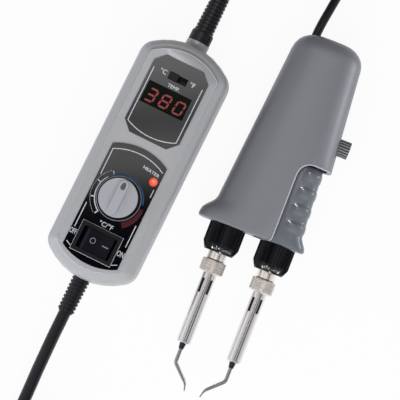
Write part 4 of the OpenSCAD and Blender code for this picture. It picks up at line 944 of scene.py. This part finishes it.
# %% Knurl tree
knurl_tree, k_in, k_out, knurl_keys = geometry_tree("knurl", [
    ("Count", "Int"), ("Rows", "Int"), ("Radius", "Float"), ("Length", "Float"), ("Tooth", "Float"),
    ("Height", "Float"), ("Material", "Material")])
row = knurl_tree.nodes.new("GeometryNodeMeshLine")
teeth = math_node(knurl_tree, "MULTIPLY", k_in.outputs["Count"], k_in.outputs["Rows"])
index = knurl_tree.nodes.new("GeometryNodeInputIndex")
rows_done = math_node(knurl_tree, "DIVIDE", index.outputs[0], k_in.outputs["Count"])
line_no = math_node(knurl_tree, "FLOOR", rows_done)
shift = math_node(knurl_tree, "MULTIPLY", math_node(knurl_tree, "MODULO", line_no, 2), 0.5)
in_row = math_node(knurl_tree, "MODULO", index.outputs[0], k_in.outputs["Count"])
step = math_node(knurl_tree, "ADD", in_row, shift)
share = math_node(knurl_tree, "DIVIDE", step, k_in.outputs["Count"])
angle = math_node(knurl_tree, "MULTIPLY", share, 2 * math.pi)
last = math_node(knurl_tree, "SUBTRACT", k_in.outputs["Rows"], 1)
from_middle = math_node(knurl_tree, "SUBTRACT", math_node(knurl_tree, "DIVIDE", line_no, last), 0.5)
along = math_node(knurl_tree, "MULTIPLY", k_in.outputs["Length"], from_middle)
out = knurl_tree.nodes.new("ShaderNodeCombineXYZ")
reach = knurl_tree.nodes.new("ShaderNodeVectorMath")
reach.operation = "SCALE"
slide = knurl_tree.nodes.new("ShaderNodeCombineXYZ")
total = vector_node(knurl_tree, "ADD", reach.outputs[0], slide.outputs[0])
wrap = knurl_tree.nodes.new("GeometryNodeSetPosition")
tooth = knurl_tree.nodes.new("GeometryNodeMeshCone")
tooth.inputs["Vertices"].default_value = 4
face_out = knurl_tree.nodes.new("FunctionNodeAlignRotationToVector")
face_out.axis = "Z"
stand = knurl_tree.nodes.new("GeometryNodeInstanceOnPoints")
wire(knurl_tree,
     (teeth, row.inputs["Count"]),
     (math_node(knurl_tree, "COSINE", angle), out.inputs[0]),
     (math_node(knurl_tree, "SINE", angle), out.inputs[2]),
     (out.outputs[0], reach.inputs[0]),
     (k_in.outputs["Radius"], reach.inputs["Scale"]),
     (along, slide.inputs[1]),
     (row.outputs[0], wrap.inputs["Geometry"]),
     (total, wrap.inputs["Position"]),
     (k_in.outputs["Tooth"], tooth.inputs["Radius Bottom"]),
     (k_in.outputs["Height"], tooth.inputs["Depth"]),
     (out.outputs[0], face_out.inputs["Vector"]),
     (wrap.outputs[0], stand.inputs["Points"]),
     (tooth.outputs["Mesh"], stand.inputs["Instance"]),
     (face_out.outputs[0], stand.inputs["Rotation"]))
finish_tree(knurl_tree, stand.outputs[0], k_in.outputs["Material"], k_out)
print("knurl tree:", len(knurl_tree.nodes), "nodes")

# %% Knurls on both nuts
ARMS = {"fixed": (-15.4, "housings"), "moving": (10.9, "lever")}
NUT_Y = -21.5
KNURL = {"Count": 30, "Rows": 9, "Radius": 5.82 * MM, "Length": 5.2 * MM, "Tooth": 0.62 * MM,
         "Height": 0.4 * MM, "Material": nickel_warm}
for side, (x, body) in ARMS.items():
    nut = HANDLE @ Matrix.Translation(Vector((x, NUT_Y, AXIS_Z)) * MM)
    base = bpy.data.meshes.new("knurl")
    knurl = grow(f"{side}_nut_knurl", base, knurl_tree, knurl_keys, KNURL, nut, body, "nickel")
print("knurl:", len(knurl.data.polygons), "faces on each nut")

# %% [markdown]
# ## Ribbed collars
# The grip ribs of a collar are round, and their ends shine where the collar tapers. Rows of separate rods
# could stand for them, but would leave seams. So a ring of points that waves in and out is drawn along
# the collar, and the ribs get lower with the taper.

# %% Collars
COLLAR_RIBS, RIB_POINTS = 42, 6
COLLAR_PROFILE = (
    (0.3, 9.15, 0.45), (10.0, 9.15, 0.45), (10.5, 9.08, 0.45), (13.0, 7.9, 0.4), (13.3, 7.7, 0.3),
    (13.35, 7.6, 0.0), (13.8, 7.6, 0.0), (14.2, 7.3, 0.0), (14.2, 4.6, 0.0))


def collar_ring(x, along, r, rib):
    points = []
    for i in range(COLLAR_RIBS * RIB_POINTS):
        wave = math.cos(2 * math.pi * i / RIB_POINTS)
        across, rise = on_circle(r - rib * (0.5 - 0.5 * wave), 360 * i / (COLLAR_RIBS * RIB_POINTS))
        points.append(place(HANDLE, x + across, -along, AXIS_Z + rise))
    return points


collars = bpy.data.collections.new("collars")
for side, (x, body) in ARMS.items():
    rings = [collar_ring(x, *station) for station in COLLAR_PROFILE]
    collar = skin(f"{side}_collar_ribs", rings, body, collar_black, "gloss_black", 50)
    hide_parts(f"{side}_collar")
    collars.objects.link(collar)
print("collars:", len(collar.data.polygons), "faces each")

# %% [markdown]
# ## Painted shade in the heater sleeves
# The slots of each sleeve look black, because it is dark inside. Black faces in the slots would look
# painted from the side, so a dark tube of painted shade lies round the heater behind them.

# %% Painted shade behind the slots
SLOT_SHADE_R, SLOT_SHADE_ENDS = 2.7, (-27.0, -37.5)
for side, (x, body) in ARMS.items():
    around = [on_circle(SLOT_SHADE_R, a) for a in range(0, 360, 15)]
    rings = [[place(HANDLE, x + across, y, AXIS_Z + rise) for across, rise in around] for y in SLOT_SHADE_ENDS]
    slot_shade = skin(f"{side}_sleeve_lining", rings, body, heater_and_slot_shade_dark, "ceramic", 40)
print("slot_shades:", slot_shade.name, "and its pair")

# %% [markdown]
# ## The edge of the housing along the lever
# The housing ends in a rounded lip beside the lever, and the lip shows as a thin bright line that is a
# painted highlight: its tube is much lighter than the housing. A bevel would round the whole notch alike,
# so a slim tube follows the edge over the top of the housing, whose section is a superellipse.

# %% Lip along the notch
HOUSING_L, HOUSING_H, HOUSING_POWER = 103.5, 14, 2.8
MOUTH_HALF, END_HALF = 26.65, 17.3
NOTCH_X, NOTCH_Y, NOTCH_R, FOOT_R = 6.2, 42.2, 7, 2
UP_FROM, UP_STEP = 3.6, 1.8
OUT_FROM, OUT_STEP = 14.1, 0.9
LIP_R, LIP_SINK = 0.4, 0.3


def housing_z(x, y):
    half = MOUTH_HALF + (END_HALF - MOUTH_HALF) * y / HOUSING_L
    share = min(1.0, abs(x) / half)
    return AXIS_Z + HOUSING_H * (1 - share ** HOUSING_POWER) ** (1 / HOUSING_POWER)


edge = arc(NOTCH_X - FOOT_R, FOOT_R, FOOT_R, -60, 0, 4)
edge += [(NOTCH_X, UP_FROM + UP_STEP * i) for i in range(18)]
edge += arc(NOTCH_X + NOTCH_R, NOTCH_Y - NOTCH_R, NOTCH_R, 172, 92, 8)
edge += [(OUT_FROM + OUT_STEP * i, NOTCH_Y) for i in range(9)]
lip_points = [Vector((x, y, housing_z(x, y) - LIP_SINK)) for x, y in edge]
rings = []
for i, p in enumerate(lip_points):
    ahead = (lip_points[min(i + 1, len(edge) - 1)] - lip_points[max(i - 1, 0)]).normalized()
    side_way = ahead.cross(UPWARD).normalized()
    over = side_way.cross(ahead)
    around = [on_circle(LIP_R, a) for a in range(0, 360, 36)]
    rings.append([place(HANDLE, *(p + side_way * u + over * v)) for u, v in around])
lip = skin("housing_lip", rings, "housings", lip_highlight_grey, "housing", 60)
print("lip:", len(lip.data.polygons), "faces")

# %% [markdown]
# ## The edge of the raised face
# The face of the controller stands a step above the case, and its rounded edge draws a thin line of
# light. The outline is the hull of the points of the upper shell that lie on the face, so it fits the
# solid whatever its size, and a slim tube follows it. The tube's round catches the light, and its grey,
# lighter than the case, adds a painted highlight.

# %% Rounded edge of the face
FACE_R, FACE_SINK = 0.3, 0.22
ON_FACE = 0.01 * MM
face_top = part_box("case_top")[1].z
to_controller = CONTROLLER.inverted()
on_face = [to_controller @ v.co / MM for v in skins["case_top"].data.vertices if v.co.z > face_top - ON_FACE]
outline = [on_face[i].xy for i in convex_hull_2d([p.xy for p in on_face])]
rings = []
for i, p in enumerate(outline):
    ahead = (outline[(i + 1) % len(outline)] - outline[i - 1]).normalized()
    out_way = Vector((ahead.y, -ahead.x))
    around = [on_circle(FACE_R, a) for a in range(0, 360, 45)]
    rings.append([place(CONTROLLER, *(p + out_way * u), face_top / MM - FACE_SINK + v) for u, v in around])
face_edge = skin("face_edge", rings, "housings", edge_highlight_grey, "case", 60, closed=True)
print(face_edge.name, "has", len(outline), "points round")

# %% [markdown]
# ## Screw slots
# The screws underneath have cross recesses. Cutting them would change the solids, so one tree stands a
# thin dark cross on every point of a base mesh, one point for each screw.

# %% Cross recesses with Geometry Nodes
cross_tree, c_in, c_out, cross_keys = geometry_tree(
    "cross recess", [("Size", "Vector"), ("Material", "Material")])
bars = cross_tree.nodes.new("GeometryNodeJoinGeometry")
swap = cross_tree.nodes.new("ShaderNodeSeparateXYZ")
turned = cross_tree.nodes.new("ShaderNodeCombineXYZ")
wire(cross_tree,
     (c_in.outputs["Size"], swap.inputs[0]),
     (swap.outputs[0], turned.inputs[1]),
     (swap.outputs[1], turned.inputs[0]),
     (swap.outputs[2], turned.inputs[2]))
for size in (c_in.outputs["Size"], turned.outputs[0]):
    bar = cross_tree.nodes.new("GeometryNodeMeshCube")
    wire(cross_tree, (size, bar.inputs["Size"]), (bar.outputs[0], bars.inputs[0]))
stand = cross_tree.nodes.new("GeometryNodeInstanceOnPoints")
wire(cross_tree, (c_in.outputs[0], stand.inputs["Points"]), (bars.outputs[0], stand.inputs["Instance"]))
finish_tree(cross_tree, stand.outputs[0], c_in.outputs["Material"], c_out)

CASE_SCREW_X, CASE_SCREW_Y = 16.05, 52.5
HANDLE_SCREWS = ((9.5, 90.5), (-12.5, 62), (-15, 20))
SCREW_HEAD_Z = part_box("case_screws")[0].z / MM
RECESS = [3.4 * MM, 0.7 * MM, 0.06 * MM]
screw_points = [place(CONTROLLER, x * CASE_SCREW_X, y * CASE_SCREW_Y, SCREW_HEAD_Z)
                for x in (-1, 1) for y in (-1, 1)]
screw_points += [place(HANDLE, x, y, SCREW_HEAD_Z) for x, y in HANDLE_SCREWS]
base = bpy.data.meshes.new("screw_recesses")
base.from_pydata([tuple(p) for p in screw_points], [], [])
recesses = grow("screw_recesses", base, cross_tree, cross_keys, {"Size": RECESS, "Material": chip_black},
                Matrix.Identity(4), "housings", "screw")
print("recesses:", len(recesses.data.polygons), "faces")

# %% [markdown]
# ## Bench and light
# The bench is white. The camera sees most of it as plain white, so the picture keeps its clean
# background, and the rest of it as a lit surface, so a faint shadow stays. More light on the bench would
# also make it white, but would wash out the part.

# %% Bench
BENCH_HALF, BENCH_DROP = 3, 0.2 * MM
WHITE_SHARE = 0.93
bench_corners = [(x * BENCH_HALF, y * BENCH_HALF, 0) for x, y in ((-1, -1), (1, -1), (1, 1), (-1, 1))]
bench_mesh = mesh_from("bench", bench_corners, [(0, 1, 2, 3)])
bench = bpy.data.objects.new("bench", bench_mesh)
bench.location.z = -BENCH_DROP
scene.collection.objects.link(bench)
bench_white = bpy.data.materials.new("bench_white")
bench_white.use_nodes = True
tree = bench_white.node_tree
matt = tree.nodes["Principled BSDF"]
set_inputs(matt, {"Base Color": (0.86, 0.86, 0.87, 1), "Roughness": 0.9, "Specular IOR Level": 0.1})
white = tree.nodes.new("ShaderNodeEmission")
set_inputs(white, {"Color": (1, 1, 1, 1)})
path = tree.nodes.new("ShaderNodeLightPath")
seen = math_node(tree, "MAXIMUM", path.outputs["Is Camera Ray"], path.outputs["Is Glossy Ray"])
seen = math_node(tree, "MAXIMUM", seen, path.outputs["Is Transmission Ray"])
mix = tree.nodes.new("ShaderNodeMixShader")
wire(tree,
     (math_node(tree, "MULTIPLY", seen, WHITE_SHARE), mix.inputs["Fac"]),
     (matt.outputs[0], mix.inputs[1]),
     (white.outputs[0], mix.inputs[2]),
     (mix.outputs[0], tree.nodes["Material Output"].inputs["Surface"]))
bench_mesh.materials.append(bench_white)
print("bench ready")

# %% [markdown]
# The studio is a pattern over the directions of the sky. Seen across the picture it has a pale wall on
# the left and a dark gap right of the zenith, which draws the lines on round metal, and it darkens
# towards the top. A pale panel hangs just above the zenith over a dark hole, and its lower edge fades out
# on the glossy labels. A picture of a real studio could do this, but a pattern can be set to what the
# photograph shows. The camera itself sees white above the bench.

# %% Studio
world = bpy.data.worlds.new("studio")
scene.world = world
world.use_nodes = True
tree = world.node_tree
sky = tree.nodes["Background"]
heading = tree.nodes.new("ShaderNodeTexCoord")


def along_axis(axis):
    return vector_node(tree, "DOT_PRODUCT", heading.outputs["Generated"], axis)


def fade_between(value, low, high):
    node = tree.nodes.new("ShaderNodeMapRange")
    node.interpolation_type = "SMOOTHSTEP"
    set_inputs(node, {"From Min": low, "From Max": high})
    wire(tree, (value, node.inputs["Value"]))
    return node.outputs["Result"]


def sky_band(value, start, full, fading, end):
    return math_node(tree, "SUBTRACT", fade_between(value, start, full), fade_between(value, fading, end))


across_sky, up_sky = along_axis(VIEW_RIGHT), along_axis(VIEW_UP)
from_zenith = math_node(tree, "ABSOLUTE", across_sky)
overhead = math_node(tree, "SUBTRACT", 1, fade_between(from_zenith, 0.11, 0.2))
dark_gap = sky_band(across_sky, 0.34, 0.44, 0.56, 0.66)
left_wall = math_node(tree, "SUBTRACT", 1, fade_between(across_sky, -0.8, -0.4))
right_wall = fade_between(across_sky, 0.66, 0.78)
dark_top = fade_between(up_sky, 0.25, 0.6)
hole = math_node(tree, "MULTIPLY", overhead, sky_band(up_sky, -0.16, -0.08, 0.045, 0.07))
panel = math_node(tree, "MULTIPLY", overhead, sky_band(up_sky, 0.045, 0.07, 0.08, 0.1))
lamp_row = math_node(tree, "MULTIPLY", overhead, sky_band(up_sky, 0.085, 0.14, 0.25, 0.4))
SKY_LEVEL, SKY_DARKEST = 0.58, 0.03
SKY_CHANGES = ((dark_gap, -0.56), (left_wall, 0.45), (right_wall, 0.15), (dark_top, -0.54), (hole, -0.55),
               (panel, 1.4), (lamp_row, 2.4))
level = SKY_LEVEL
for mask, amount in SKY_CHANGES:
    level = math_node(tree, "ADD", level, math_node(tree, "MULTIPLY", mask, amount))
cool = tree.nodes.new("ShaderNodeMix")
cool.data_type = "RGBA"
set_inputs(cool, {"A": (0.84, 0.91, 1, 1), "B": (1, 0.995, 0.99, 1)})
white_sky = tree.nodes.new("ShaderNodeBackground")
set_inputs(white_sky, {"Color": (1, 1, 1, 1)})
path = tree.nodes.new("ShaderNodeLightPath")
mix = tree.nodes.new("ShaderNodeMixShader")
wire(tree,
     (math_node(tree, "MAXIMUM", level, SKY_DARKEST), sky.inputs["Strength"]),
     (fade_between(along_axis(UPWARD), 0.3, 0.85), cool.inputs["Factor"]),
     (cool.outputs["Result"], sky.inputs["Color"]),
     (path.outputs["Is Camera Ray"], mix.inputs["Fac"]),
     (sky.outputs[0], mix.inputs[1]),
     (white_sky.outputs[0], mix.inputs[2]),
     (mix.outputs[0], tree.nodes["World Output"].inputs["Surface"]))
print("studio:", world.name)

# %% [markdown]
# A broad key lamp at the lower edge of the picture gives the shape. The two units look lit separately, so
# each has a low lamp of its own: one on the right for the handpiece and one on the left for the
# controller. A small lamp at the upper edge makes the glints on the lever and leaves out the matt housing,
# and another makes the ends of the collars' ribs sparkle. Light linking says which pieces a lamp reaches,
# and the two small lamps only give gloss.

# %% Lamps


def lamp(name, at, size, power, colour=(1, 1, 1), only=None):
    data = bpy.data.lights.new(name, "AREA")
    data.shape = "DISK"
    data.size = size
    data.energy = power
    data.color = colour
    obj = bpy.data.objects.new(name, data)
    obj.location = at
    obj.rotation_euler = (TARGET - at).to_track_quat("-Z", "Y").to_euler()
    scene.collection.objects.link(obj)
    if only:
        obj.light_linking.receiver_collection = only
    return obj


KEY_COLOUR, SIDE_COLOUR = (0.97, 0.985, 1), (0.92, 0.96, 1)
units = {name: bpy.data.collections.new(name) for name in ("controller", "handpiece")}
polished = bpy.data.collections.new("polished")
for obj in [o for o in scene.objects if o.type == "MESH"]:
    if obj is not bench:
        middle_x = sum(corner[0] for corner in obj.bound_box) / len(obj.bound_box)
        units["handpiece" if middle_x > 0 else "controller"].objects.link(obj)
    if housing_grey.name not in obj.data.materials:
        polished.objects.link(obj)
key = lamp("key", VIEW_RIGHT * 0.05 - VIEW_UP * 0.9 + UPWARD * 0.9, 1.3, 11.4, KEY_COLOUR)
key.visible_glossy = False
lamp("side", VIEW_RIGHT + UPWARD * 0.24, 0.4, 2.2, SIDE_COLOUR, units["handpiece"])
lamp("wing", UPWARD * 0.3 - VIEW_RIGHT, 0.5, 2.6, SIDE_COLOUR, units["controller"])
glint = lamp("glint", VIEW_UP * 0.75 + UPWARD, 0.1, 6, only=polished)
spark = lamp("spark", UPWARD * 0.64 - VIEW_UP * 0.72 - VIEW_RIGHT * 0.05, 0.18, 22, only=collars)
for gloss_lamp in (glint, spark):
    gloss_lamp.visible_diffuse = False
print("lamps:", len(bpy.data.lights))

scene.view_settings.view_transform = "Standard"
